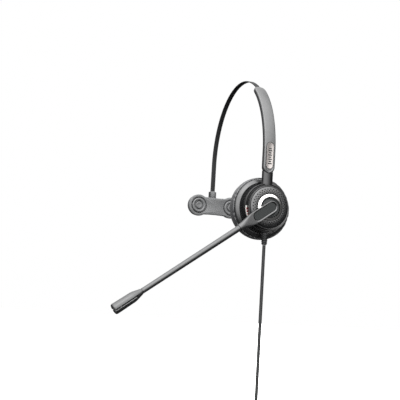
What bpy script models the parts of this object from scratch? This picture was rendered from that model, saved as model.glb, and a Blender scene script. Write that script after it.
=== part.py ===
"""Office headset: one earpiece, a spring headband with a temple bar, and a boom microphone.

Frame: origin in the middle of the wearer's head, on the axis of the earpiece.
+X points out through the earpiece, -Y to the wearer's front, +Z up.
All sizes below are millimetres; meshes are written in metres.
"""

import math

import bmesh
import bpy
from mathutils import Matrix, Vector

MM = 0.001
GAP = 0.3                      # clearance between pieces that touch

# Headband arch: a half ellipse on two straight arms
ARCH_HALF_WIDTH = 65.8
ARCH_RISE = 77.9
ARM_TOP = 52.2                 # the arms are straight below this height
STRIP_WIDTH = 4.8
STRIP_THICK = 0.9
STRIP_EAR_END = 58.0           # arc length from the crown to where the strip ends in the housing
STRIP_FOOT = 24.3              # height of the strip's other end, in the temple bar's block

# Plastic housing on the earpiece side, swept along the arch
HOUSING_HALF_WIDTH = 5.8
HOUSING_HALF_THICK = 2.6
HOUSING_TOP_THICK = 1.7         # its outer shell's thickness at the upper tip
HOUSING_FOOT = 32.3            # height of its round lower tip
HOUSING_TOP_ARC = 38.0         # arc length from the crown to its upper tip
CAVITY_HALF_THICK = 1.5
CAVITY_HALF_WIDTH = 4.4

# Name plate in the housing
PLATE_LENGTH = 24.4
PLATE_WIDTH = 6.6
PLATE_HEIGHT = 48.6            # height of its middle

# Sliding arm: ratchet tongue, stem and yoke
TONGUE_X = 65.9
TONGUE_THICK = 1.0
TONGUE_HALF_WIDTH = 3.6
TONGUE_TOP = 64.0
TONGUE_FOOT = 26.6
NOTCH_PITCH = 3.0
STEM_HALF_WIDTH = 5.1
YOKE_RADIUS = 22.5
YOKE_INNER = 62.9              # X of the yoke's inner rim
YOKE_OUTER = 67.3              # X of its outer face

# Earpiece
BALL_X = 57.4
BALL_RADIUS = 2.8
SHELL_RADIUS = 27.9            # earpiece shell; the cushion's lip stands round it
CUSHION_RADIUS = 29.7
CUSHION_FACE = 41.5            # X of the face that meets the ear

# Boom
BOOM_ANGLE = 35.0              # degrees below straight ahead
BOOM_X = 76.9
DRUM_RADIUS = 20.0
ARM_HALF_WIDTH = 5.6
ARM_LENGTH = 38.0
INLAY_LENGTH = 16.7            # between the centres of its round ends
TUBE_ROOT_RADIUS = 2.75
TUBE_TIP_RADIUS = 2.45
MIC_START = 146.0
MIC_LENGTH = 29.8
MIC_ROOT_RADIUS = 3.3
MIC_TIP_RADIUS = 5.0

# Temple bar
BAR_X = -56.3                  # its inner face
BAR_HEIGHT = 9.6
LOBE_RADIUS = 11.0
LOBE_SPACING = 35.8
WAIST_TOP = 9.0
WAIST_FOOT = 9.2
PIVOT_HEIGHT = 22.0
END_HALF_WIDTH = 2.3           # half width of the block on the strip's foot
CHEEK_THICK = 1.0              # thickness of the fork's cheeks
ARM_X = -ARCH_HALF_WIDTH

# Cord
CORD_RADIUS = 1.5
CORD_X = 65.15
CORD_START = -34.6
COIL_HEIGHT = -210.2           # height of the coil's centre
COIL_OUTER_TURN = 22.6         # radius of the outermost turn
COIL_INNER_TURN = 13.3
COIL_COLUMN = 3.1              # distance between neighbouring turns
ENTRY_BEND = 7.0
TAIL_END = COIL_HEIGHT - 36.0
TAIL_X = CORD_X + COIL_COLUMN


# ---------------------------------------------------------------- scene set-up

for old in list(bpy.data.objects):
    bpy.data.objects.remove(old, do_unlink=True)


def material(name, colour, roughness, metallic=0.0):
    """A Principled material."""
    mat = bpy.data.materials.new(name)
    mat.use_nodes = True
    shader = mat.node_tree.nodes["Principled BSDF"]
    shader.inputs["Base Color"].default_value = (*colour, 1.0)
    shader.inputs["Roughness"].default_value = roughness
    shader.inputs["Metallic"].default_value = metallic
    return mat


SATIN_BLACK = material("satin_black_plastic", (0.035, 0.036, 0.038), 0.42)
MATTE_BLACK = material("matte_black_plastic", (0.020, 0.021, 0.022), 0.60)
GREY_PLASTIC = material("grey_plastic", (0.070, 0.072, 0.074), 0.45)
PAD_RUBBER = material("pad_rubber", (0.085, 0.087, 0.088), 0.62)
SPRING_STEEL = material("black_spring_steel", (0.030, 0.030, 0.032), 0.35, 1.0)
BRIGHT_METAL = material("bright_metal", (0.80, 0.80, 0.79), 0.22, 1.0)
PLATE_METAL = material("brushed_plate", (0.78, 0.74, 0.71), 0.35, 1.0)
CONTACT_METAL = material("contact_brass", (0.75, 0.60, 0.32), 0.30, 1.0)
LEATHERETTE = material("leatherette", (0.030, 0.030, 0.031), 0.50)
CORD_JACKET = material("cord_jacket", (0.030, 0.031, 0.032), 0.55)
FOAM = material("foam", (0.015, 0.015, 0.016), 0.95)
BOARD_GREEN = material("circuit_board", (0.03, 0.16, 0.08), 0.50)
LABEL_WHITE = material("label_white", (0.85, 0.85, 0.84), 0.55)
DRIVER_FILM = material("driver_film", (0.45, 0.43, 0.36), 0.35)

PIVOTS = {}


def pivot(name, place, parent=None):
    """An empty on a joint's axis, which carries the pieces of one body."""
    empty = bpy.data.objects.new(name, None)
    empty.empty_display_size = 0.01
    bpy.context.collection.objects.link(empty)
    world = Vector(place) * MM
    if parent:
        empty.parent = PIVOTS[parent][0]
        empty.location = world - PIVOTS[parent][1]
    else:
        empty.location = world
    PIVOTS[name] = (empty, world)


def finish(name, bm, body, mat, smooth=True):
    """Turn a bmesh in world millimetres into an object on its body's pivot."""
    bmesh.ops.remove_doubles(bm, verts=bm.verts, dist=0.001)
    bmesh.ops.recalc_face_normals(bm, faces=bm.faces)
    empty, origin = PIVOTS[body]
    for vert in bm.verts:
        vert.co = vert.co * MM - origin
    mesh = bpy.data.meshes.new(name)
    bm.to_mesh(mesh)
    bm.free()
    if smooth:
        mesh.shade_smooth()
        mesh.set_sharp_from_angle(angle=math.radians(35))
    obj = bpy.data.objects.new(name, mesh)
    obj.data.materials.append(mat)
    obj.parent = empty
    bpy.context.collection.objects.link(obj)
    return obj


def cutter(name, bm, body):
    """A hidden solid that a Boolean takes away."""
    obj = finish(name, bm, body, MATTE_BLACK, smooth=False)
    obj.hide_render = True
    obj.display_type = "WIRE"
    return obj


def boolean(obj, tool, operation="DIFFERENCE"):
    """Combine an object with a hidden tool object."""
    mod = obj.modifiers.new(operation.lower() + "_" + tool.name, "BOOLEAN")
    mod.operation = operation
    mod.solver = "EXACT"
    mod.object = tool


# ---------------------------------------------------------------- shape makers

def loft(rings, cap=True, closed=False):
    """Skin a list of point rings; the ends are capped, or joined when closed."""
    bm = bmesh.new()
    rows = [[bm.verts.new(p) for p in ring] for ring in rings]
    pairs = list(zip(rows, rows[1:]))
    if closed:
        pairs.append((rows[-1], rows[0]))
    for low, high in pairs:
        count = len(low)
        for i in range(count):
            j = (i + 1) % count
            bm.faces.new((low[i], low[j], high[j], high[i]))
    if cap and not closed:
        bm.faces.new(rows[0])
        bm.faces.new(rows[-1])
    return bm


def lathe(profile, matrix, steps=32):
    """Turn a closed outline of (radius, height) points about the local Z axis."""
    bm = bmesh.new()
    rows = []
    for radius, height in profile:
        if radius < 1e-6:
            rows.append([bm.verts.new(matrix @ Vector((0, 0, height)))])
            continue
        ring = []
        for k in range(steps):
            turn = 2 * math.pi * k / steps
            local = Vector((radius * math.cos(turn), radius * math.sin(turn), height))
            ring.append(bm.verts.new(matrix @ local))
        rows.append(ring)
    for low, high in zip(rows, rows[1:] + rows[:1]):
        if len(low) == 1 and len(high) == 1:
            continue
        for k in range(steps):
            j = (k + 1) % steps
            if len(low) == 1:
                bm.faces.new((low[0], high[j], high[k]))
            elif len(high) == 1:
                bm.faces.new((low[k], low[j], high[0]))
            else:
                bm.faces.new((low[k], low[j], high[j], high[k]))
    return bm


def prism(outline, matrix, low, high):
    """Extrude a flat outline of (u, v) points along the local Z axis."""
    rings = [[matrix @ Vector((u, v, w)) for u, v in outline] for w in (low, high)]
    return loft(rings)


def block(low, high):
    """A rectangular solid between two corners."""
    outline = [(low[0], low[1]), (high[0], low[1]), (high[0], high[1]), (low[0], high[1])]
    return prism(outline, Matrix.Identity(4), low[2], high[2])


def arc(centre, radius, start, end, steps):
    """Points on an arc; the angles are degrees."""
    points = []
    for k in range(steps + 1):
        turn = math.radians(start + (end - start) * k / steps)
        points.append((centre[0] + radius * math.cos(turn), centre[1] + radius * math.sin(turn)))
    return points


def stadium(length, width, steps=10):
    """Outline of a slot shape, its long side along v."""
    radius = width / 2
    half = length / 2 - radius
    return arc((0, half), radius, 0, 180, steps) + arc((0, -half), radius, 180, 360, steps)


def axis_x(x=0.0, y=0.0, z=0.0):
    """Local Z along world +X, local X along world +Y, local Y along world +Z."""
    return Matrix(((0, 0, 1, x), (1, 0, 0, y), (0, 1, 0, z), (0, 0, 0, 1)))


def axis_y(x=0.0, y=0.0, z=0.0):
    """Local Z along world +Y, local X along world +Z, local Y along world +X."""
    return Matrix(((0, 1, 0, x), (0, 0, 1, y), (1, 0, 0, z), (0, 0, 0, 1)))


def rod(radius, matrix, low, high, steps=16):
    """A plain round rod along the local Z axis."""
    return lathe([(0, low), (radius, low), (radius, high), (0, high)], matrix, steps)


# ---------------------------------------------------------------- headband path

def arch_table(steps=720):
    """Arc length, X, height and outward angle along the quarter arch and its arm."""
    rows = []
    length = 0.0
    previous = None
    for k in range(steps + 1):
        theta = 0.5 * math.pi * k / steps
        point = (ARCH_HALF_WIDTH * math.sin(theta), ARM_TOP + ARCH_RISE * math.cos(theta))
        if previous:
            length += math.dist(point, previous)
        normal = math.atan2(ARCH_RISE * math.sin(theta), ARCH_HALF_WIDTH * math.cos(theta))
        rows.append((length, point[0], point[1], normal))
        previous = point
    return rows


ARCH = arch_table()
QUARTER = ARCH[-1][0]


def arch_frame(s):
    """Point and outward normal at arc length s from the crown; +s is the earpiece side."""
    side = 1.0 if s >= 0 else -1.0
    s = abs(s)
    if s >= QUARTER:
        return Vector((side * ARCH_HALF_WIDTH, 0, ARM_TOP - (s - QUARTER))), Vector((side, 0, 0))
    k = 1
    while ARCH[k][0] < s:
        k += 1
    low, high = ARCH[k - 1], ARCH[k]
    t = (s - low[0]) / (high[0] - low[0])
    x, z, lean = (low[i] + t * (high[i] - low[i]) for i in (1, 2, 3))
    return Vector((side * x, 0, z)), Vector((side * math.sin(lean), 0, math.cos(lean)))


def arm_arc(height):
    """Arc length at a height on the straight arm."""
    return QUARTER + ARM_TOP - height


def on_arch(s, across, out):
    """A point beside the arch: across along Y, out along the normal."""
    point, normal = arch_frame(s)
    return point + normal * out + Vector((0, across, 0))


def arch_matrix(s):
    """Local Z along the arch's outward normal, local X along Y, local Y down the band."""
    point, normal = arch_frame(s)
    across = Vector((0, 1, 0))
    along = normal.cross(across)
    rows = [(across[i], along[i], normal[i], point[i]) for i in range(3)]
    return Matrix(rows + [(0, 0, 0, 1)])


def spread(start, end, count):
    """Evenly spaced values, both ends included."""
    return [start + (end - start) * k / (count - 1) for k in range(count)]


def arch_slab(stations, half_width, low, top, edge=0.0, thickness=None):
    """A slab swept along the arch; its outer face is at top, or at thickness(s) if given.

    The outer long edges are rounded by edge.
    """
    rings = []
    for s in stations:
        half = half_width(s)
        high = thickness(s) if thickness else top
        soft = min(edge, 0.8 * half)
        ring = [(-half, low), (half, low)]
        if soft > 0:
            ring += [(half - soft + soft * math.cos(a), high - soft + soft * math.sin(a))
                     for a in (0.0, 0.5, 1.05, 1.57)]
            ring += [(-half + soft - soft * math.cos(a), high - soft + soft * math.sin(a))
                     for a in (1.57, 1.05, 0.5, 0.0)]
        else:
            ring += [(half, high), (-half, high)]
        rings.append([on_arch(s, across, out) for across, out in ring])
    return loft(rings)


# ---------------------------------------------------------------- headband body

HOUSING_FOOT_ARC = arm_arc(HOUSING_FOOT)
TOP_ROUND = 6.0                # length of the housing's rounded upper end


def housing_half_width(s):
    """Half width of the housing: a half circle below, a blunt round tip above."""
    foot = HOUSING_FOOT_ARC - s
    if foot < HOUSING_HALF_WIDTH:
        reach = max(0.0, HOUSING_HALF_WIDTH ** 2 - (HOUSING_HALF_WIDTH - foot) ** 2)
        return max(0.9, math.sqrt(reach))
    top = s - HOUSING_TOP_ARC
    if top < TOP_ROUND:
        t = 1.0 - max(0.0, top) / TOP_ROUND
        return 3.6 + (HOUSING_HALF_WIDTH - 3.6) * math.sqrt(1.0 - t * t)
    return HOUSING_HALF_WIDTH


def housing_thickness(s):
    """Thickness of the outer shell, which thins towards the upper tip."""
    t = min(1.0, max(0.0, (s - HOUSING_TOP_ARC) / 45.0))
    return HOUSING_TOP_THICK + (HOUSING_HALF_THICK - HOUSING_TOP_THICK) * t * (2 - t)


def housing_stations():
    """Cross-section places along the housing, closer together at its ends."""
    top = [HOUSING_TOP_ARC + TOP_ROUND * (1 - math.cos(0.1 * math.pi * k)) for k in range(6)]
    foot_start = HOUSING_FOOT_ARC - HOUSING_HALF_WIDTH
    foot = [foot_start + HOUSING_HALF_WIDTH * math.sin(0.5 * math.pi * k / 8) for k in range(1, 9)]
    return top + spread(top[-1] + 3.5, foot_start, 18) + foot


def build_headband():
    """Spring strip, its two-part housing, and everything fixed to them."""
    foot = -arm_arc(STRIP_FOOT)
    stations = spread(foot, -QUARTER, 3)[:-1] + spread(-QUARTER, STRIP_EAR_END, 41)
    bm = arch_slab(stations, lambda s: STRIP_WIDTH / 2, -STRIP_THICK / 2, STRIP_THICK / 2)
    strip = finish("band_strip", bm, "headband", SPRING_STEEL)
    band_screw_arc = STRIP_EAR_END - 4.0
    hole = rod(1.3, arch_matrix(band_screw_arc), -3, 3)
    boolean(strip, cutter("cut_strip_hole", hole, "headband"))

    stations = housing_stations()
    bm = arch_slab(stations, housing_half_width, 0.15, HOUSING_HALF_THICK, 1.1, housing_thickness)
    outer = finish("housing_outer_shell", bm, "headband", SATIN_BLACK)
    bm = arch_slab(stations, housing_half_width, -HOUSING_HALF_THICK, -0.15)
    inner = finish("housing_inner_shell", bm, "headband", MATTE_BLACK)

    strip_slot = arch_slab(spread(HOUSING_TOP_ARC - 3, STRIP_EAR_END + 1.0, 12),
                           lambda s: STRIP_WIDTH / 2 + GAP, -STRIP_THICK / 2 - GAP,
                           STRIP_THICK / 2 + GAP)
    slot = cutter("cut_strip_slot", strip_slot, "headband")
    cavity_top = arm_arc(TONGUE_TOP + 4.0)
    tongue_room = arch_slab(spread(cavity_top, HOUSING_FOOT_ARC + 3, 14),
                            lambda s: CAVITY_HALF_WIDTH, -CAVITY_HALF_THICK, CAVITY_HALF_THICK)
    room = cutter("cut_tongue_room", tongue_room, "headband")
    for shell in (outer, inner):
        boolean(shell, slot)
        boolean(shell, room)

    mid_screw_arc = cavity_top - 6.0
    for number, s in ((1, band_screw_arc), (2, mid_screw_arc)):
        matrix = arch_matrix(s)
        profile = [(0, -2.5), (1.7, -2.5), (1.7, -1.9), (0.9, -1.9), (0.9, 1.1), (0, 1.1)]
        finish(f"housing_screw_{number}", lathe(profile, matrix, 16), "headband", SPRING_STEEL)
        profile = [(0, -3.4), (2.0, -3.4), (2.0, -1.6), (1.2, -1.6), (1.2, 1.4), (0, 1.4)]
        hole = cutter(f"cut_screw_{number}", lathe(profile, matrix, 16), "headband")
        boolean(outer, hole)
        boolean(inner, hole)

    plate_arc = arm_arc(PLATE_HEIGHT)
    plate_frame = arch_matrix(plate_arc)
    pocket = prism(stadium(PLATE_LENGTH + 2.2, PLATE_WIDTH + 1.8), plate_frame, 1.75, 4.0)
    boolean(outer, cutter("cut_plate_pocket", pocket, "headband"))
    plate = prism(stadium(PLATE_LENGTH, PLATE_WIDTH), plate_frame, 2.05, 2.6)
    finish("name_plate", plate, "headband", PLATE_METAL)


def build_detent_spring():
    """Bowed leaf that presses on the tongue's notched edge from the inner shell."""
    rings = []
    for z in spread(40.0, 54.0, 11):
        bow = 0.35 * math.sin(math.pi * (z - 40.0) / 14.0)
        x = ARCH_HALF_WIDTH - CAVITY_HALF_THICK + 0.15 + bow
        rings.append([(x, -2.0, z), (x + 0.2, -2.0, z), (x + 0.2, 2.0, z), (x, 2.0, z)])
    finish("detent_spring", loft(rings), "headband", SPRING_STEEL)


def build_strip_end():
    """Moulded block on the strip's foot, and the pin that the temple bar turns on."""
    low = (ARM_X - 1.7, -END_HALF_WIDTH, PIVOT_HEIGHT - 3.2)
    high = (ARM_X + 1.7, END_HALF_WIDTH, PIVOT_HEIGHT + 4.0)
    end = finish("strip_end_block", block(low, high), "headband", GREY_PLASTIC)
    slot = block((ARM_X - STRIP_THICK / 2 - GAP, -STRIP_WIDTH, STRIP_FOOT - GAP),
                 (ARM_X + STRIP_THICK / 2 + GAP, STRIP_WIDTH, PIVOT_HEIGHT + 8.0))
    boolean(end, cutter("cut_strip_end_slot", slot, "headband"))


# ---------------------------------------------------------------- temple bar

def bar_outline(inset=0.0):
    """Two round lobes joined by a waist, as (y, z) points."""
    half = LOBE_SPACING / 2
    radius = LOBE_RADIUS - inset
    top = WAIST_TOP - inset
    foot = WAIST_FOOT - inset
    top_turn = math.degrees(math.asin(top / radius))
    foot_turn = math.degrees(math.asin(foot / radius))
    right = arc((half, BAR_HEIGHT), radius, -(180 - foot_turn), 180 - top_turn, 16)
    left = arc((-half, BAR_HEIGHT), radius, top_turn, 360 - foot_turn, 16)
    return right + left


def build_temple_bar():
    """Hard frame with a fork for the strip's pin, a soft facing and two round pads."""
    bar = finish("temple_bar_frame", prism(bar_outline(0.5), axis_x(), BAR_X - 7.0, BAR_X - 3.8),
                 "temple_bar", SATIN_BLACK)
    inside = END_HALF_WIDTH + GAP
    outside = inside + CHEEK_THICK
    side_view = [(ARM_X - 1.9, BAR_HEIGHT - 2), (BAR_X - 4.4, BAR_HEIGHT - 2),
                 (BAR_X - 4.4, BAR_HEIGHT + 7.0), (ARM_X + 1.7, PIVOT_HEIGHT - 2.0),
                 (ARM_X + 1.7, PIVOT_HEIGHT + 3.4), (ARM_X - 1.9, PIVOT_HEIGHT + 3.4)]
    for name, low, high in (("front", -outside, -inside), ("rear", inside, outside)):
        cheek = loft([[(x, y, z) for x, z in side_view] for y in (low, high)])
        boolean(bar, cutter("add_cheek_" + name, cheek, "temple_bar"), "UNION")
    facing = finish("temple_bar_facing", prism(bar_outline(), axis_x(), BAR_X - 3.5, BAR_X),
                    "temple_bar", PAD_RUBBER)
    for name, side in (("front", -1), ("rear", 1)):
        place = axis_x(BAR_X, side * LOBE_SPACING / 2, BAR_HEIGHT)
        boolean(facing, cutter("cut_pad_" + name, rod(8.5, place, -2.2, 1.0, 20), "temple_bar"))
        profile = [(0, -1.9), (7.4, -1.9), (7.4, -0.1), (6.9, 0.3), (4.6, 0.1), (4.1, -0.2),
                   (3.6, 0.2), (0, 0.4)]
        finish("round_pad_" + name, lathe(profile, place, 20), "temple_bar", PAD_RUBBER)

    pin_frame = axis_y(ARM_X, 0, PIVOT_HEIGHT)
    finish("temple_bar_pin", rod(0.9, pin_frame, 0.1 - outside, outside - 0.1), "temple_bar",
           SPRING_STEEL)
    hole = rod(1.2, pin_frame, -6, 6)
    boolean(bar, cutter("cut_bar_pin_hole", hole, "temple_bar"))
    block_hole = cutter("cut_block_pin_hole", rod(1.2, pin_frame, -6, 6), "headband")
    boolean(bpy.data.objects["strip_end_block"], block_hole)


# ---------------------------------------------------------------- sliding arm and yoke

def tongue_outline():
    """Half-round top and square notches down both edges, as (y, z) points."""
    radius = TONGUE_HALF_WIDTH
    notch = 0.5
    side = []
    z = TONGUE_FOOT + 8.0
    while z < TONGUE_TOP - radius - 2.0:
        side += [(radius, z), (radius - notch, z + 0.3), (radius - notch, z + 1.1), (radius, z + 1.4)]
        z += NOTCH_PITCH
    left = [(-y, z) for y, z in reversed(side)]
    top = arc((0, TONGUE_TOP - radius), radius, 0, 180, 10)
    return [(radius, TONGUE_FOOT)] + side + top + left + [(-radius, TONGUE_FOOT)]


def build_arm():
    """Ratchet tongue, and the yoke with its stem."""
    half = TONGUE_THICK / 2
    tongue = finish("ratchet_tongue", prism(tongue_outline(), axis_x(TONGUE_X), -half, half),
                    "arm", SPRING_STEEL)

    profile = [(5.4, YOKE_OUTER), (22.0, YOKE_OUTER), (YOKE_RADIUS, 66.7), (YOKE_RADIUS, YOKE_INNER),
               (21.1, YOKE_INNER), (21.1, 65.9), (5.4, 65.9)]
    yoke = finish("yoke", lathe(profile, axis_x(), 44), "arm", SATIN_BLACK)
    rings = []
    for z in (21.2, 25.0, 30.0, 35.5):
        front = [(66.4 + 1.8 * math.sin(math.radians(a)), -STEM_HALF_WIDTH * math.cos(math.radians(a)))
                 for a in spread(0, 180, 9)]
        section = [(63.4, -STEM_HALF_WIDTH)] + front + [(63.4, STEM_HALF_WIDTH)]
        rings.append([(x, y, z) for x, y in section])
    boolean(yoke, cutter("add_stem", loft(rings), "arm"), "UNION")
    pin_frame = axis_x(0, 0, 28.9)
    finish("tongue_pin", rod(0.9, pin_frame, 63.9, 66.9), "arm", SPRING_STEEL)
    pin_hole = cutter("cut_tongue_pin", rod(1.2, pin_frame, 62, 67.2), "arm")
    boolean(yoke, pin_hole)
    boolean(tongue, pin_hole)
    centre = HOUSING_FOOT + HOUSING_HALF_WIDTH
    scoop = rod(HOUSING_HALF_WIDTH + 0.4, axis_x(0, 0, centre), 60, 72, 35)
    boolean(yoke, cutter("cut_stem_top", scoop, "arm"))
    slot = block((TONGUE_X - half - GAP, -TONGUE_HALF_WIDTH - GAP, TONGUE_FOOT - GAP),
                 (TONGUE_X + half + GAP, TONGUE_HALF_WIDTH + GAP, 40))
    boolean(yoke, cutter("cut_tongue_slot", slot, "arm"))
    relief_hole = rod(1.75, Matrix.Translation((CORD_X, 0, 0)), -24.5, -20.0, 12)
    boolean(yoke, cutter("cut_relief_hole", relief_hole, "arm"))

    profile = [(2.5, YOKE_INNER), (20.8, YOKE_INNER), (20.8, 63.8), (2.5, 63.8)]
    finish("yoke_cover", lathe(profile, axis_x(), 28), "arm", MATTE_BLACK)
    profile = [(8.6, 64.3), (18.0, 64.3), (18.0, 65.1), (8.6, 65.1)]
    finish("wiring_board", lathe(profile, axis_x(), 20), "arm", BOARD_GREEN)
    reach = math.sqrt(BALL_RADIUS ** 2 - 1.4 ** 2)
    ball = [(BALL_RADIUS * math.cos(a), BALL_X + BALL_RADIUS * math.sin(a))
            for a in spread(-1.1, math.asin(reach / BALL_RADIUS), 6)]
    profile = ([(0, BALL_X - BALL_RADIUS)] + ball
               + [(1.4, 62.2), (2.1, 62.4), (2.1, 64.1), (3.9, 64.1), (3.9, 64.45), (0, 64.45)])
    finish("ball_stud", lathe(profile, axis_x(), 14), "arm", BRIGHT_METAL)
    label = [(y, z) for y, z in arc((0, 0), 22.0, 179, 206, 6) + arc((0, 0), 20.5, 206, 179, 6)]
    finish("side_label", prism(label, axis_x(), 67.5, 67.7), "arm", LABEL_WHITE)


# ---------------------------------------------------------------- earpiece

def build_earpiece():
    """Ball liner, shell, baffle, driver, screen and cushion, all turned about the ear axis."""
    profile = [(3.1, 55.9), (4.0, 55.9), (4.0, 58.9), (3.1, 58.9)]
    finish("ball_liner", lathe(profile, axis_x(), 16), "liner", PAD_RUBBER)
    shell = [(3.4, 60.3), (5.8, 60.3), (5.8, 58.0), (23.8, 58.0), (24.0, 59.3), (24.6, 59.3),
             (27.4, 57.7), (SHELL_RADIUS, 57.2), (SHELL_RADIUS, 55.0), (26.0, 55.0),
             (25.6, 55.9), (24.4, 56.8), (5.8, 56.8), (5.8, 54.3), (4.3, 54.3), (4.3, 59.5),
             (3.4, 59.5)]
    finish("earpiece_shell", lathe(shell, axis_x(), 36), "earpiece", SATIN_BLACK)
    finish("ball_retainer", rod(5.8, axis_x(), 53.3, 54.0, 16), "earpiece", MATTE_BLACK)
    baffle = [(11.0, 48.0), (24.8, 48.0), (24.8, 54.7), (23.6, 54.7), (23.6, 49.2), (11.0, 49.2)]
    finish("baffle", lathe(baffle, axis_x(), 28), "earpiece", MATTE_BLACK)
    basket = [(8.9, 49.5), (14.0, 49.5), (14.0, 50.3), (11.5, 50.5), (10.0, 51.6), (8.9, 51.6)]
    finish("driver_basket", lathe(basket, axis_x(), 18), "earpiece", SPRING_STEEL)
    finish("driver_magnet", rod(8.5, axis_x(), 49.9, 52.8, 18), "earpiece", BRIGHT_METAL)
    film = [(0, 48.4), (4.0, 48.4), (6.0, 48.8), (10.6, 48.6), (10.6, 49.1), (6.0, 49.2), (0, 49.1)]
    finish("driver_diaphragm", lathe(film, axis_x(), 16), "earpiece", DRIVER_FILM)
    finish("ear_screen", rod(15.2, axis_x(), 46.5, 47.7, 24), "earpiece", FOAM)
    cushion = [(25.2, 54.7), (SHELL_RADIUS + GAP, 54.7), (SHELL_RADIUS + GAP, 56.9), (28.9, 56.9),
               (29.6, 55.4), (CUSHION_RADIUS, 52.0), (29.6, 48.2), (28.5, 44.8),
               (26.8, 42.6), (24.4, CUSHION_FACE), (20.8, CUSHION_FACE), (18.0, 42.6),
               (16.2, 44.8), (15.8, 47.6), (25.2, 47.6)]
    finish("ear_cushion", lathe(cushion, axis_x(), 32), "earpiece", LEATHERETTE)


# ---------------------------------------------------------------- boom

ANGLE = math.radians(BOOM_ANGLE)
ALONG = Vector((0, -math.cos(ANGLE), -math.sin(ANGLE)))
ACROSS = Vector((0, -math.sin(ANGLE), math.cos(ANGLE)))


def boom_point(along, across, x):
    """A point by its distance along the boom, across it, and its X."""
    return Vector((x, 0, 0)) + ALONG * along + ACROSS * across


BOOM_FLAT = Matrix([(0, 0, 1, 0)] + [(ALONG[i], ACROSS[i], 0, 0) for i in (1, 2)] + [(0, 0, 0, 1)])
BOOM_AXIS = Matrix([(0, 1, 0, BOOM_X)] + [(ACROSS[i], 0, ALONG[i], 0) for i in (1, 2)]
                   + [(0, 0, 0, 1)])


def arm_section(t):
    """Half width and X range of the boom arm at a distance along it."""
    if t < 0:
        half = math.sqrt(max(0.0, ARM_HALF_WIDTH ** 2 - t * t))
        return max(half, 0.6), 75.0, 78.9
    blend = min(1.0, max(0.0, (t - 19.0) / (ARM_LENGTH - 19.0)))
    blend = blend * blend * (3 - 2 * blend)
    half = ARM_HALF_WIDTH + (3.3 - ARM_HALF_WIDTH) * blend
    return half, 75.0 + (BOOM_X - 3.2 - 75.0) * blend, 78.9 + (BOOM_X + 3.2 - 78.9) * blend


def build_boom_arm():
    """Arm that grows out of the drum's hub and narrows to the tube."""
    rings = []
    tip = [-ARM_HALF_WIDTH * math.cos(math.radians(a)) for a in spread(0, 90, 6)]
    for t in tip + [10.0] + spread(18.0, ARM_LENGTH, 7):
        half, low, high = arm_section(t)
        middle = 0.5 * (low + high)
        depth = 0.5 * (high - low)
        ring = []
        for a in spread(0, 360, 17)[:-1]:
            c, s = math.cos(math.radians(a)), math.sin(math.radians(a))
            square = 0.45 if t < 20 else 0.45 + 0.55 * min(1.0, (t - 20) / (ARM_LENGTH - 20))
            across = half * math.copysign(abs(c) ** square, c)
            x = middle + depth * math.copysign(abs(s) ** square, s)
            ring.append(boom_point(t, across, x))
        rings.append(ring)
    arm = finish("boom_arm", loft(rings), "boom", SATIN_BLACK)
    slot = arc((INLAY_LENGTH, 0), 4.3, -90, 90, 10) + arc((0, 0), 4.3, 90, 270, 10)
    boolean(arm, cutter("cut_inlay_pocket", prism(slot, BOOM_FLAT, 77.6, 81.0), "boom"))
    slot = arc((INLAY_LENGTH, 0), 4.0, -90, 90, 10) + arc((0, 0), 4.0, 90, 270, 10)
    finish("boom_inlay", prism(slot, BOOM_FLAT, 77.9, 78.4), "boom", GREY_PLASTIC)
    hole = [(0, 74.0), (1.5, 74.0), (1.5, 76.3), (2.7, 76.3), (2.7, 79.5), (0, 79.5)]
    boolean(arm, cutter("cut_arm_screw", lathe(hole, axis_x(), 12), "boom"))
    screw = [(0, 69.6), (1.2, 69.6), (1.2, 76.6), (2.4, 76.6), (2.4, 77.4), (0, 77.4)]
    finish("hub_screw", lathe(screw, axis_x(), 12), "boom", SPRING_STEEL)


def build_drum():
    """Rotating drum: base with its hollow shaft, dome, trim ring and hub disc."""
    base = [(3.0, 64.7), (4.9, 64.7), (4.9, 65.0), (4.0, 65.0), (4.0, 65.7), (5.0, 65.7),
            (5.0, 68.3), (12.0, 68.3), (12.0, 67.6), (DRUM_RADIUS, 67.6),
            (DRUM_RADIUS, 70.9), (19.4, 71.5), (18.2, 71.5), (18.2, 69.4), (5.5, 69.4),
            (5.5, 72.0), (1.5, 72.0), (1.5, 68.9), (3.0, 68.9)]
    finish("drum_base", lathe(base, axis_x(), 36), "boom", SATIN_BLACK)
    clip = [(4.3, 65.2), (7.4, 65.2), (7.4, 65.5), (4.3, 65.5)]
    finish("pivot_clip", lathe(clip, axis_x(), 16), "boom", SPRING_STEEL)
    washer = [(6.3, 67.6), (11.7, 67.6), (11.7, 68.0), (6.3, 68.0)]
    finish("friction_washer", lathe(washer, axis_x(), 20), "boom", PAD_RUBBER)
    dome = [(19.2, 71.8), (18.9, 72.6), (17.4, 73.3), (15.2, 73.8), (12.7, 74.0), (12.7, 73.0),
            (15.0, 72.8), (17.0, 72.3), (18.0, 71.8)]
    finish("drum_dome", lathe(dome, axis_x(), 36), "boom", GREY_PLASTIC)
    trim = [(9.9, 72.6), (12.4, 72.6), (12.4, 74.0), (12.0, 74.5), (11.1, 74.7), (10.2, 74.5),
            (9.9, 74.0)]
    finish("trim_ring", lathe(trim, axis_x(), 36), "boom", BRIGHT_METAL)
    hub = [(1.5, 72.3), (9.6, 72.3), (9.6, 73.9), (9.0, 74.3), (6.0, 74.6), (1.5, 74.6)]
    finish("hub_disc", lathe(hub, axis_x(), 24), "boom", SATIN_BLACK)


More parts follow.
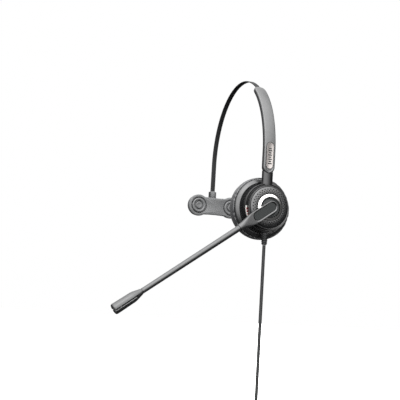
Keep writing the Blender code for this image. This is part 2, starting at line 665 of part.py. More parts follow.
def build_boom_tube():
    """Long tapering tube between the arm and the microphone."""
    rings = []
    start = ARM_LENGTH + GAP
    end = MIC_START - GAP
    for t in spread(start, end, 8):
        radius = TUBE_ROOT_RADIUS + (TUBE_TIP_RADIUS - TUBE_ROOT_RADIUS) * (t - start) / (end - start)
        rings.append([boom_point(t, radius * math.cos(a), BOOM_X + radius * math.sin(a))
                      for a in spread(0, 2 * math.pi, 17)[:-1]])
    finish("boom_tube", loft(rings), "boom", SATIN_BLACK)


def mic_radius(t):
    """Outer radius of the microphone capsule at a distance from its start."""
    flare = MIC_ROOT_RADIUS + (MIC_TIP_RADIUS - MIC_ROOT_RADIUS) * t / MIC_LENGTH
    return flare if t > 2.0 else 2.7 + (flare - 2.7) * math.sqrt(t / 2.0)


def build_microphone():
    """Capsule in two halves that part along the boom, with the element inside."""
    for name, side in (("upper", 1), ("lower", -1)):
        rings = []
        for t in (0, 0.5, 2, 8, 16, 24, 28.8, MIC_LENGTH):
            radius = mic_radius(t) - (0.5 if t == MIC_LENGTH else 0.0)
            wall = 1.1
            lift = 0.15
            outer = [(radius * math.cos(a), radius * math.sin(a)) for a in spread(0.0, math.pi, 10)]
            core = [((radius - wall) * math.cos(a), (radius - wall) * math.sin(a))
                    for a in spread(math.pi, 0.0, 10)]
            rings.append([boom_point(MIC_START + t, side * (lift + up), BOOM_X + out)
                          for out, up in outer + core])
        finish("mic_shell_" + name, loft(rings), "boom", MATTE_BLACK)
    element = rod(2.9, BOOM_AXIS, MIC_START + 21.5, MIC_START + 25.5, 20)
    finish("mic_element", element, "boom", BRIGHT_METAL)
    finish("mic_screen", rod(3.4, BOOM_AXIS, MIC_START + 26.9, MIC_START + 29.4, 20), "boom", FOAM)


# ---------------------------------------------------------------- cord and plug

def build_strain_relief():
    """Ribbed sleeve under the yoke, with a neck that passes its rim."""
    profile = [(0, -20.7), (1.4, -20.7), (1.4, -22.8), (2.3, -22.9), (2.3, -24.8)]
    for k in range(5):
        z = -25.3 - 1.85 * k
        radius = 3.15 - 0.1 * k
        profile += [(radius, z), (radius - 0.45, z - 0.3), (radius - 0.45, z - 0.9), (radius, z - 1.2)]
    profile += [(2.4, CORD_START + GAP), (0, CORD_START + GAP)]
    finish("strain_relief", lathe(profile, Matrix.Translation((CORD_X, 0, 0)), 12), "arm", CORD_JACKET)


def cord_tube(name, route):
    """A plain tube along a smooth curve through the route's points."""
    curve = bpy.data.curves.new(name, "CURVE")
    curve.dimensions = "3D"
    curve.bevel_depth = CORD_RADIUS * MM
    curve.bevel_resolution = 2
    curve.use_fill_caps = True
    curve.materials.append(CORD_JACKET)
    spline = curve.splines.new("POLY")
    spline.points.add(len(route) - 1)
    origin = PIVOTS["arm"][1]
    for point, place in zip(spline.points, route):
        point.co = (*(Vector(place) * MM - origin), 1.0)
    obj = bpy.data.objects.new(name, curve)
    obj.parent = PIVOTS["arm"][0]
    bpy.context.collection.objects.link(obj)


def build_cord():
    """Lead down from the earpiece, tied coil, and the tail to the plug."""
    spacing = COIL_OUTER_TURN + ENTRY_BEND
    bend_height = COIL_HEIGHT + math.sqrt(spacing ** 2 - ENTRY_BEND ** 2)
    lead = [(CORD_X, 0, z) for z in spread(CORD_START, bend_height, 22)]
    turn = 0.0
    ring_outer = COIL_OUTER_TURN + CORD_RADIUS + GAP
    while True:
        turn += math.radians(12)
        y = ENTRY_BEND * (1 - math.cos(turn))
        z = bend_height - ENTRY_BEND * math.sin(turn)
        if math.hypot(y, z - COIL_HEIGHT) < ring_outer + CORD_RADIUS:
            break
        lead.append((CORD_X, y, z))
    cord_tube("cord_lead", lead)

    low = COIL_INNER_TURN - CORD_RADIUS
    high = COIL_OUTER_TURN + CORD_RADIUS
    half = COIL_COLUMN + CORD_RADIUS
    soft = 1.3
    ring = [(low + soft, -half), (high - soft, -half), (high, -half + soft), (high, half - soft),
            (high - soft, half), (low + soft, half), (low, half - soft), (low, -half + soft)]
    finish("cord_coil", lathe(ring, axis_x(CORD_X, 0, COIL_HEIGHT), 32), "arm", CORD_JACKET)

    tail_top = COIL_HEIGHT - math.sqrt((high + GAP) ** 2 - (COIL_OUTER_TURN - CORD_RADIUS) ** 2)
    cord_tube("cord_tail", [(TAIL_X, COIL_OUTER_TURN, z) for z in spread(tail_top, TAIL_END, 6)])

    tie_turn = math.radians(28)
    tie_frame = (Matrix.Translation((CORD_X, 0, COIL_HEIGHT)) @ Matrix.Rotation(-tie_turn, 4, "X"))
    slack = 0.35
    strap = 1.0
    inside = (half + slack, low - slack, high + slack)
    outside = (inside[0] + strap, inside[1] - strap, inside[2] + strap)
    rings = []
    for reach, y in ((outside, -2.6), (outside, 2.6), (inside, 2.6), (inside, -2.6)):
        rings.append([tie_frame @ Vector((x, y, z)) for x, z in
                      ((-reach[0], reach[1]), (reach[0], reach[1]), (reach[0], reach[2]),
                       (-reach[0], reach[2]))])
    finish("cord_tie", loft(rings, closed=True), "arm", MATTE_BLACK, smooth=False)


def rounded_rectangle(half_u, half_v, radius, steps=3):
    """Outline of a rectangle with round corners."""
    points = []
    for u, v, start in ((1, 1, 0), (-1, 1, 90), (-1, -1, 180), (1, -1, 270)):
        points += arc((u * (half_u - radius), v * (half_v - radius)), radius, start, start + 90, steps)
    return points


def build_plug():
    """Quick-disconnect plug: boot, two shell halves, insert and four contacts."""
    centre = Matrix.Translation((TAIL_X, COIL_OUTER_TURN, TAIL_END))
    boot = [(0, -GAP), (2.1, -GAP)]
    for k in range(4):
        z = -1.4 - 2.1 * k
        boot += [(2.3 + 0.2 * k, z), (1.9 + 0.2 * k, z - 0.3), (1.9 + 0.2 * k, z - 1.0),
                 (2.3 + 0.2 * k, z - 1.3)]
    boot += [(3.2, -9.7), (0, -9.7)]
    finish("plug_boot", lathe(boot, centre, 12), "arm", CORD_JACKET)
    for name, side in (("outer", 1), ("inner", -1)):
        rings = []
        for z, half_y, depth in ((-10.0, 3.6, 2.6), (-12.0, 5.0, 3.6), (-16.0, 5.6, 4.0),
                                 (-30.0, 5.6, 4.0), (-36.0, 5.6, 4.0)):
            wall = 1.3
            outer = [(half_y, 0.15), (half_y, depth - 1.2), (half_y - 1.2, depth),
                     (1.2 - half_y, depth), (-half_y, depth - 1.2), (-half_y, 0.15)]
            core = [(wall - half_y, 0.15), (wall - half_y, depth - wall),
                    (half_y - wall, depth - wall), (half_y - wall, 0.15)]
            rings.append([centre @ Vector((side * x, y, z)) for y, x in outer + core])
        finish("plug_shell_" + name, loft(rings), "arm", SATIN_BLACK)
    insert = prism(rounded_rectangle(2.3, 3.9, 0.6), centre, -40.0, -31.0)
    body = finish("plug_insert", insert, "arm", MATTE_BLACK)
    for number in range(4):
        y = -2.4 + 1.6 * number
        low = centre @ Vector((-0.4, y - 0.35, -39.0))
        high = centre @ Vector((0.4, y + 0.35, -32.0))
        finish(f"plug_contact_{number + 1}", block(low, high), "arm", CONTACT_METAL, smooth=False)
        low = centre @ Vector((-0.7, y - 0.65, -41.0))
        high = centre @ Vector((0.7, y + 0.65, -31.7))
        boolean(body, cutter(f"cut_contact_{number + 1}", block(low, high), "arm"))


# ---------------------------------------------------------------- assembly

pivot("headband", (0, 0, 0))
pivot("temple_bar", (ARM_X, 0, PIVOT_HEIGHT), "headband")
pivot("arm", (TONGUE_X, 0, HOUSING_FOOT), "headband")
pivot("liner", (BALL_X, 0, 0), "arm")
pivot("earpiece", (BALL_X, 0, 0), "liner")
pivot("boom", (YOKE_OUTER, 0, 0), "arm")

build_headband()
build_detent_spring()
build_strip_end()
build_temple_bar()
build_arm()
build_earpiece()
build_drum()
build_boom_arm()
build_boom_tube()
build_microphone()
build_strain_relief()
build_cord()
build_plug()
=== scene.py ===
"""Office headset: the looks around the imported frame.

Shapes are worked out in millimetres in the frame of the part: +X out through the
earpiece, -Y to the wearer's front, +Z up, origin in the middle of the head.
"""

import math

import bmesh
import bpy
from mathutils import Matrix, Vector, noise


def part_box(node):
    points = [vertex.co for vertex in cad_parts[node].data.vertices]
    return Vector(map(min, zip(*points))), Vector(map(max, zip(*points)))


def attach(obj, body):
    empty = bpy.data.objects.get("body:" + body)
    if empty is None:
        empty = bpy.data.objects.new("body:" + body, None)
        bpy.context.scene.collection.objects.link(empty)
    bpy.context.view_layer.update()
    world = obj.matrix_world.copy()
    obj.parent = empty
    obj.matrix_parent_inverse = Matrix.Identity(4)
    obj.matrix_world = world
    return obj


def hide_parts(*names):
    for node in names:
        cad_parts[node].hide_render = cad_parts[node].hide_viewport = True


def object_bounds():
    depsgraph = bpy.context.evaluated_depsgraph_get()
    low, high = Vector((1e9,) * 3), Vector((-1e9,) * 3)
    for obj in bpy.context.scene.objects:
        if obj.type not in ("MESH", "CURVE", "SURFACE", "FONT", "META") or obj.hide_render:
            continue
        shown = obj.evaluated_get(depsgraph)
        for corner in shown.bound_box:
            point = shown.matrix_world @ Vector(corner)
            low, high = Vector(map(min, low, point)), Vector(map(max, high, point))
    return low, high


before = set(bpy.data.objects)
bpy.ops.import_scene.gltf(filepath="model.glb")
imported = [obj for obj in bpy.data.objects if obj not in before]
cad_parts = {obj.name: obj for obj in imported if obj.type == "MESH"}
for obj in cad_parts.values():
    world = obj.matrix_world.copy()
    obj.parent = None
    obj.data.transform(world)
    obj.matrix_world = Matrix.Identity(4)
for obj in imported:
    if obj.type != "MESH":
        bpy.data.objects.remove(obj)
CAD_LOW, CAD_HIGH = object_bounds()
MM = 0.001
GAP = 0.3


def box_mm(node):
    """Lowest and highest corner of a CAD node in millimetres."""
    low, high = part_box(node)
    return low / MM, high / MM


def centre_mm(node):
    """Middle of a CAD node in millimetres."""
    low, high = box_mm(node)
    return (low + high) / 2


# ---------- places read from the frame

STRIP_LOW, STRIP_HIGH = box_mm("band_strip")
STRIP_WIDTH = STRIP_HIGH.y - STRIP_LOW.y
STRIP_THICK = 0.9
ARCH_HALF_WIDTH = -STRIP_LOW.x - STRIP_THICK / 2
CROWN = STRIP_HIGH.z - STRIP_THICK / 2
ARM_TOP = 52.2                       # the arms are straight below this height
ARCH_RISE = CROWN - ARM_TOP

HOUSING_LOW, HOUSING_HIGH = box_mm("housing_outer_shell")
HOUSING_HALF_WIDTH = HOUSING_HIGH.y
HOUSING_HALF_THICK = HOUSING_HIGH.x - ARCH_HALF_WIDTH
HOUSING_FOOT = HOUSING_LOW.z
HOUSING_TOP_ARC = 38.0               # arc length from the crown to its upper tip
STRIP_EAR_ARC = 58.0                 # arc length from the crown to the strip's hidden end

PLATE_LOW, PLATE_HIGH = box_mm("name_plate")
YOKE_LOW, YOKE_HIGH = box_mm("yoke")
YOKE_RADIUS = YOKE_HIGH.y
SHELL_RADIUS = box_mm("earpiece_shell")[1].y
DRUM_RADIUS = box_mm("drum_base")[1].y
RING_LOW, RING_HIGH = box_mm("trim_ring")
HUB_BACK = box_mm("hub_disc")[0].x
RELIEF_LOW, RELIEF_HIGH = box_mm("strain_relief")
FACING_LOW, FACING_HIGH = box_mm("temple_bar_facing")
PAD_LOW, PAD_HIGH = box_mm("round_pad_front")
COIL_LOW, COIL_HIGH = box_mm("cord_coil")
TAIL_END = box_mm("cord_tail")[0].z
TEMPLE_PIN = centre_mm("temple_bar_pin")

MIC_CENTRE = centre_mm("mic_screen")
BOOM_ANGLE = math.atan2(-MIC_CENTRE.z, -MIC_CENTRE.y)
ALONG = Vector((0, -math.cos(BOOM_ANGLE), -math.sin(BOOM_ANGLE)))
ACROSS = Vector((0, -math.sin(BOOM_ANGLE), math.cos(BOOM_ANGLE)))
BOOM_X = MIC_CENTRE.x


# ---------- mesh tools

def loft(rings, cap=True, closed=False):
    """Skin a list of point rings; the ends are capped, or joined when closed."""
    bm = bmesh.new()
    rows = [[bm.verts.new(p) for p in ring] for ring in rings]
    pairs = list(zip(rows, rows[1:]))
    if closed:
        pairs.append((rows[-1], rows[0]))
    for low, high in pairs:
        count = len(low)
        for i in range(count):
            j = (i + 1) % count
            bm.faces.new((low[i], low[j], high[j], high[i]))
    if cap and not closed:
        bm.faces.new(rows[0])
        bm.faces.new(rows[-1])
    return bm


def lathe(profile, matrix, steps=96):
    """Turn a closed outline of (radius, height) points about the local Z axis."""
    bm = bmesh.new()
    rows = []
    for radius, height in profile:
        if radius < 1e-6:
            rows.append([bm.verts.new(matrix @ Vector((0, 0, height)))])
            continue
        ring = []
        for k in range(steps):
            turn = 2 * math.pi * k / steps
            local = Vector((radius * math.cos(turn), radius * math.sin(turn), height))
            ring.append(bm.verts.new(matrix @ local))
        rows.append(ring)
    for low, high in zip(rows, rows[1:] + rows[:1]):
        if len(low) == 1 and len(high) == 1:
            continue
        for k in range(steps):
            j = (k + 1) % steps
            if len(low) == 1:
                bm.faces.new((low[0], high[j], high[k]))
            elif len(high) == 1:
                bm.faces.new((low[k], low[j], high[0]))
            else:
                bm.faces.new((low[k], low[j], high[j], high[k]))
    return bm


def softened(profile, radius, steps=3):
    """A closed outline with each corner rounded by up to radius."""
    points = [Vector(p) for p in profile]
    count = len(points)
    result = []
    for k, corner in enumerate(points):
        before = points[k - 1] - corner
        after = points[(k + 1) % count] - corner
        if corner.x < 1e-6:
            result.append(tuple(corner))
            continue
        reach = min(radius, 0.45 * before.length, 0.45 * after.length)
        start = corner + before.normalized() * reach
        end = corner + after.normalized() * reach
        for i in range(steps + 1):
            t = i / steps
            point = start.lerp(corner, t).lerp(corner.lerp(end, t), t)
            result.append((max(0.0, point.x), point.y))
    return result


def prism(outline, matrix, low, high):
    """Extrude a flat outline of (u, v) points along the local Z axis."""
    return loft([[matrix @ Vector((u, v, w)) for u, v in outline] for w in (low, high)])


def block(low, high):
    """A rectangular solid between two corners."""
    outline = [(low[0], low[1]), (high[0], low[1]), (high[0], high[1]), (low[0], high[1])]
    return prism(outline, Matrix.Identity(4), low[2], high[2])


def unit(degrees):
    """Cosine and sine of an angle in degrees."""
    turn = math.radians(degrees)
    return math.cos(turn), math.sin(turn)


def spread(start, end, count):
    """Evenly spaced values, both ends included."""
    return [start + (end - start) * k / (count - 1) for k in range(count)]


def arc(centre, radius, start, end, steps):
    """Points on an arc; the angles are degrees."""
    return [(centre[0] + radius * c, centre[1] + radius * s)
            for c, s in map(unit, spread(start, end, steps + 1))]


def stadium(length, width, steps=20):
    """Outline of a slot shape, its long side along v."""
    radius = width / 2
    half = length / 2 - radius
    return arc((0, half), radius, 0, 180, steps) + arc((0, -half), radius, 180, 360, steps)


def axis_x(x=0.0, y=0.0, z=0.0):
    """Local Z along world +X, local X along world +Y, local Y along world +Z."""
    return Matrix(((0, 0, 1, x), (1, 0, 0, y), (0, 1, 0, z), (0, 0, 0, 1)))


def rod(radius, matrix, low, high, steps=32):
    """A plain round rod along the local Z axis."""
    return lathe([(0, low), (radius, low), (radius, high), (0, high)], matrix, steps)


def cross_hole(point, radius=1.2, reach=6):
    """A round tool along world Y through a point."""
    along_y = Matrix(((0, 1, 0, point.x), (0, 0, 1, 0), (1, 0, 0, point.z), (0, 0, 0, 1)))
    return rod(radius, along_y, -reach, reach)


def smooth_step(t):
    """0 to 1 with level ends."""
    t = min(1.0, max(0.0, t))
    return t * t * (3 - 2 * t)


def mesh_object(name, bm):
    """A bmesh in millimetres as an object in metres."""
    bmesh.ops.remove_doubles(bm, verts=bm.verts, dist=0.0005)
    bmesh.ops.recalc_face_normals(bm, faces=bm.faces)
    bmesh.ops.scale(bm, vec=(MM, MM, MM), verts=bm.verts)
    mesh = bpy.data.meshes.new(name)
    bm.to_mesh(mesh)
    bm.free()
    obj = bpy.data.objects.new(name, mesh)
    bpy.context.scene.collection.objects.link(obj)
    return obj


def settle(obj):
    """Apply an object's modifiers to its mesh."""
    graph = bpy.context.evaluated_depsgraph_get()
    mesh = bpy.data.meshes.new_from_object(obj.evaluated_get(graph))
    obj.modifiers.clear()
    obj.data = mesh


def cut(obj, tools, operation="DIFFERENCE"):
    """Take solids away from an object, or join them to it."""
    for number, tool in enumerate(tools):
        helper = mesh_object(f"{obj.name}_tool_{number}", tool)
        mod = obj.modifiers.new("cut", "BOOLEAN")
        mod.operation = operation
        mod.solver = "EXACT"
        mod.object = helper
        settle(obj)
        bpy.data.objects.remove(helper)


def bevel(obj, width, segments=2, angle=35):
    """Round an object's sharp edges."""
    mod = obj.modifiers.new("bevel", "BEVEL")
    mod.width = width * MM
    mod.segments = segments
    mod.limit_method = "ANGLE"
    mod.angle_limit = math.radians(angle)
    mod.harden_normals = False
    settle(obj)


def dress(obj, mat, body, slot, *nodes, angle=40):
    """Give a finished piece its material and its body, and hide the nodes it stands for; slot is not
    used.
    """
    obj.data.materials.clear()
    obj.data.materials.append(mat)
    if obj.type == "MESH":
        obj.data.shade_smooth()
        obj.data.set_sharp_from_angle(angle=math.radians(angle))
    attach(obj, body)
    if nodes:
        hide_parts(*nodes)
    return obj


# ---------- headband path

def arch_table(steps=1440):
    """Arc length, X, height and outward angle along the quarter arch."""
    rows = []
    length = 0.0
    previous = None
    for k in range(steps + 1):
        theta = 0.5 * math.pi * k / steps
        point = (ARCH_HALF_WIDTH * math.sin(theta), ARM_TOP + ARCH_RISE * math.cos(theta))
        if previous:
            length += math.dist(point, previous)
        normal = math.atan2(ARCH_RISE * math.sin(theta), ARCH_HALF_WIDTH * math.cos(theta))
        rows.append((length, point[0], point[1], normal))
        previous = point
    return rows


ARCH = arch_table()
QUARTER = ARCH[-1][0]


def arch_frame(s):
    """Point and outward normal at arc length s from the crown; +s is the earpiece side."""
    side = 1.0 if s >= 0 else -1.0
    s = abs(s)
    if s >= QUARTER:
        return Vector((side * ARCH_HALF_WIDTH, 0, ARM_TOP - (s - QUARTER))), Vector((side, 0, 0))
    low, high = 0, len(ARCH) - 1
    while high - low > 1:
        middle = (low + high) // 2
        if ARCH[middle][0] < s:
            low = middle
        else:
            high = middle
    t = (s - ARCH[low][0]) / (ARCH[high][0] - ARCH[low][0])
    x, z, lean = (ARCH[low][i] + t * (ARCH[high][i] - ARCH[low][i]) for i in (1, 2, 3))
    return Vector((side * x, 0, z)), Vector((side * math.sin(lean), 0, math.cos(lean)))


def arm_arc(height):
    """Arc length at a height on the straight arm."""
    return QUARTER + ARM_TOP - height


def on_arch(s, across, out):
    """A point beside the arch: across along Y, out along the normal."""
    point, normal = arch_frame(s)
    return point + normal * out + Vector((0, across, 0))


def arch_matrix(s):
    """Local Z along the arch's outward normal, local X along Y, local Y down the band."""
    point, normal = arch_frame(s)
    across = Vector((0, 1, 0))
    along = normal.cross(across)
    rows = [(across[i], along[i], normal[i], point[i]) for i in range(3)]
    return Matrix(rows + [(0, 0, 0, 1)])


# ---------- materials

class Look:
    """A Principled material with node helpers; textures follow the object's own space."""

    def __init__(self, name, colour, roughness, metallic=0.0, **sockets):
        self.mat = bpy.data.materials.new(name)
        self.mat.use_nodes = True
        self.tree = self.mat.node_tree
        self.shader = self.tree.nodes["Principled BSDF"]
        self.colour = (*colour, 1.0)
        self.roughness = roughness
        self.shader.inputs["Base Color"].default_value = self.colour
        self.shader.inputs["Roughness"].default_value = roughness
        self.shader.inputs["Metallic"].default_value = metallic
        for socket, value in sockets.items():
            self.shader.inputs[socket.replace("_", " ")].default_value = value
        self.place = self.node("ShaderNodeTexCoord").outputs["Object"]
        self.height = None

    def node(self, kind, **inputs):
        """A node, with some of its input values set."""
        made = self.tree.nodes.new(kind)
        for socket, value in inputs.items():
            made.inputs[socket].default_value = value
        return made

    def link(self, start, end):
        self.tree.links.new(start, end)

    def noise(self, size_mm, detail=3.0, stretch=(1, 1, 1)):
        """Noise with features of about size_mm."""
        mapping = self.node("ShaderNodeMapping", Scale=stretch)
        self.link(self.place, mapping.inputs["Vector"])
        made = self.node("ShaderNodeTexNoise", Scale=1 / (size_mm * MM), Detail=detail)
        self.link(mapping.outputs["Vector"], made.inputs["Vector"])
        return made.outputs["Fac"]

    def cells(self, size_mm):
        """Voronoi cells of about size_mm."""
        made = self.node("ShaderNodeTexVoronoi", Scale=1 / (size_mm * MM))
        self.link(self.place, made.inputs["Vector"])
        return made.outputs["Distance"]

    def ranged(self, fac, low, high, from_low=0.3, from_high=0.7):
        """Remap a 0 to 1 value."""
        made = self.node("ShaderNodeMapRange", **{"From Min": from_low, "From Max": from_high,
                                                  "To Min": low, "To Max": high})
        self.link(fac, made.inputs["Value"])
        return made.outputs["Result"]

    def vary_colour(self, fac, darker, lighter):
        """Colour runs from darker to lighter times the base colour."""
        ramp = self.node("ShaderNodeValToRGB")
        for stop, share, place in zip(ramp.color_ramp.elements, (darker, lighter), (0.3, 0.7)):
            stop.position = place
            stop.color = (*(c * share for c in self.colour[:3]), 1.0)
        self.link(fac, ramp.inputs["Fac"])
        self.link(ramp.outputs["Color"], self.shader.inputs["Base Color"])

    def vary_roughness(self, fac, spread_by):
        """Roughness varies about its value."""
        low, high = self.roughness - spread_by, self.roughness + spread_by
        self.link(self.ranged(fac, low, high), self.shader.inputs["Roughness"])

    def bump(self, fac, depth_mm, strength=1.0):
        """Adds a bump; later calls stack on the first."""
        made = self.node("ShaderNodeBump", Strength=strength, Distance=depth_mm * MM)
        self.link(fac, made.inputs["Height"])
        if self.height:
            self.link(self.height, made.inputs["Normal"])
        self.height = made.outputs["Normal"]
        self.link(self.height, self.shader.inputs["Normal"])


def surface(name, colour, roughness, metallic=0.0, tint=None, gloss=None, bumps=(), **sockets):
    """A material whose colour, roughness and height vary.

    tint is (noise, darker, lighter), gloss is (noise, spread), and each bump is
    (kind, texture, depth, strength); a noise or texture is its size and detail.
    """
    look = Look(name, colour, roughness, metallic, **sockets)
    if tint:
        look.vary_colour(look.noise(*tint[0]), *tint[1:])
    if gloss:
        look.vary_roughness(look.noise(*gloss[0]), gloss[1])
    for kind, texture, depth, strength in bumps:
        height = look.cells(*texture) if kind == "cells" else look.noise(*texture)
        look.bump(height, depth, strength)
    return look.mat


def moulded(name, colour, roughness, grain, **sockets):
    """Moulded plastic: fine spark-eroded grain, faint flow marks, slightly uneven gloss."""
    return surface(name, colour, roughness, tint=((9.0, 4.0), 0.90, 1.10), gloss=((3.0, 5.0), 0.05),
                   bumps=(("noise", (0.35, 2.0), grain, 0.12),), **sockets)


STREAK = (0.5, 4.0, (0.05, 1.0, 0.05))
BRUSH = (0.12, 4.0, (1.0, 1.0, 0.04))

LOOK = {
    "satin": moulded("satin_plastic", (0.010, 0.0104, 0.0108), 0.28, 0.008,
                     Coat_Weight=0.25, Coat_Roughness=0.25),
    "housing": moulded("housing_plastic", (0.032, 0.0325, 0.033), 0.34, 0.008,
                       Coat_Weight=0.25, Coat_Roughness=0.28),
    "dark": moulded("dark_plastic", (0.010, 0.0105, 0.011), 0.48, 0.02),
    "grey": moulded("grained_grey_plastic", (0.004, 0.0043, 0.0046), 0.26, 0.010,
                    Coat_Weight=0.30, Coat_Roughness=0.25),
    "inlay": moulded("inlay_plastic", (0.006, 0.0075, 0.0075), 0.60, 0.015,
                     Specular_IOR_Level=0.28),
    "black": moulded("gloss_black_plastic", (0.003, 0.0032, 0.0034), 0.22, 0.006,
                     Specular_IOR_Level=0.42),
    "facing": surface("soft_facing", (0.062, 0.063, 0.064), 0.48, tint=((6.0, 5.0), 0.93, 1.07),
                      gloss=((1.5, 4.0), 0.06), bumps=(("noise", (0.25, 3.0), 0.008, 0.12),)),
    "steel": surface("black_spring_steel", (0.009, 0.0094, 0.0098), 0.52,
                     tint=(STREAK, 0.8, 1.2), gloss=(STREAK, 0.07),
                     bumps=(("noise", STREAK, 0.006, 0.3),), Specular_IOR_Level=0.12),
    "chrome": surface("silver_ring", (0.86, 0.855, 0.84), 0.14, 1.0, gloss=((0.6, 4.0), 0.04),
                      bumps=(("noise", (0.2, 3.0), 0.003, 0.2),)),
    "bright": surface("bright_metal", (0.62, 0.61, 0.60), 0.28, 1.0, gloss=((0.5, 4.0), 0.08),
                      bumps=(("noise", (0.25, 3.0), 0.005, 0.3),)),
    "plate": surface("brushed_plate", (0.20, 0.184, 0.176), 0.36, 0.45, tint=(BRUSH, 0.90, 1.06),
                     gloss=(BRUSH, 0.07), bumps=(("noise", BRUSH, 0.006, 0.35),)),
    "brass": surface("contact_brass", (0.78, 0.58, 0.28), 0.26, 1.0, gloss=((0.4, 3.0), 0.07)),
    "leather": surface("leatherette", (0.026, 0.0265, 0.028), 0.38, tint=((2.5, 5.0), 0.85, 1.15),
                       gloss=((1.2, 4.0), 0.07), Sheen_Weight=0.05,
                       bumps=(("cells", (0.65,), 0.03, 0.30), ("noise", (4.0, 3.0), 0.06, 0.25))),
    "jacket": surface("cord_jacket", (0.009, 0.0094, 0.0098), 0.42, tint=((5.0, 4.0), 0.85, 1.15),
                      gloss=((1.0, 4.0), 0.07), bumps=(("noise", (0.3, 3.0), 0.015, 0.4),),
                      Specular_IOR_Level=0.20),
    "foam": surface("acoustic_foam", (0.018, 0.018, 0.019), 0.95, tint=((0.6, 3.0), 0.6, 1.5),
                    bumps=(("cells", (0.5,), 0.25, 0.8),)),
    "board": surface("circuit_board", (0.02, 0.13, 0.06), 0.35,
                     tint=((0.8, 1.0, (1, 4, 0.5)), 0.6, 1.5)),
    "film": surface("driver_film", (0.50, 0.46, 0.36), 0.25, gloss=((1.5, 3.0), 0.05),
                    bumps=(("noise", (0.8, 2.0), 0.02, 0.3),)),
    "label": surface("label_film", (0.26, 0.26, 0.25), 0.55, tint=((0.8, 3.0), 0.95, 1.03)),
    "mark": surface("label_mark", (0.13, 0.002, 0.003), 0.65, tint=((0.4, 3.0), 0.85, 1.15),
                    Specular_IOR_Level=0.15),
    "tick": surface("plate_mark", (0.010, 0.012, 0.012), 0.65, tint=((0.4, 3.0), 0.8, 1.2),
                    Specular_IOR_Level=0.15),
    "strap": surface("tie_fabric", (0.022, 0.022, 0.024), 0.90, tint=((0.7, 3.0), 0.6, 1.5),
                     bumps=(("cells", (0.45,), 0.18, 0.8),), Sheen_Weight=0.3),
}


# ---------- stage, light and camera

STAND_POINT = Vector((0, 0, 0.0122))
BACK = Vector((0.9085, -0.4045, -0.1045)).normalized()
UP_HINT = Vector((0.0732, -0.0922, 0.9930))
CAMERA_DISTANCE = 1.0
PAN = math.atan(0.0372)


def build_camera():
    """A long lens at the angle the object is seen from."""
    data = bpy.data.cameras.new("camera")
    data.sensor_width = 36.0
    data.lens = 91.2
    data.clip_end = 50.0
    camera = bpy.data.objects.new("camera", data)
    bpy.context.scene.collection.objects.link(camera)
    forward = (Matrix.Rotation(PAN, 3, UP_HINT) @ -BACK).normalized()
    right = forward.cross(UP_HINT).normalized()
    up = right.cross(forward)
    rows = [(right[i], up[i], -forward[i], 0) for i in range(3)]
    camera.matrix_world = (Matrix.Translation(STAND_POINT + BACK * CAMERA_DISTANCE)
                           @ Matrix(rows + [(0, 0, 0, 1)]))
    bpy.context.scene.camera = camera


def build_floor():
    """A wide pale floor just under the plug."""
    bpy.ops.mesh.primitive_circle_add(vertices=96, radius=12.0, fill_type="NGON")
    floor = bpy.context.object
    floor.name = "floor"
    floor.location.z = CAD_LOW.z - 0.004
    look = Look("pale_floor", (0.93, 0.93, 0.93), 0.85, Emission_Color=(1, 1, 1, 1),
                Emission_Strength=0.75)
    look.vary_colour(look.noise(900.0, 2.0), 0.995, 1.0)
    floor.data.materials.append(look.mat)
    floor.visible_glossy = False
    floor.visible_diffuse = False


def soft_light(name, direction, distance, size, power, target=(0, 0, 0.02)):
    """A square softbox that faces the object."""
    data = bpy.data.lights.new(name, "AREA")
    data.shape = "RECTANGLE"
    data.size, data.size_y = size
    data.energy = power
    light = bpy.data.objects.new(name, data)
    bpy.context.scene.collection.objects.link(light)
    direction = Vector(direction).normalized()
    light.location = Vector(target) + direction * distance
    light.rotation_mode = "QUATERNION"
    light.rotation_quaternion = direction.to_track_quat("Z", "Y")


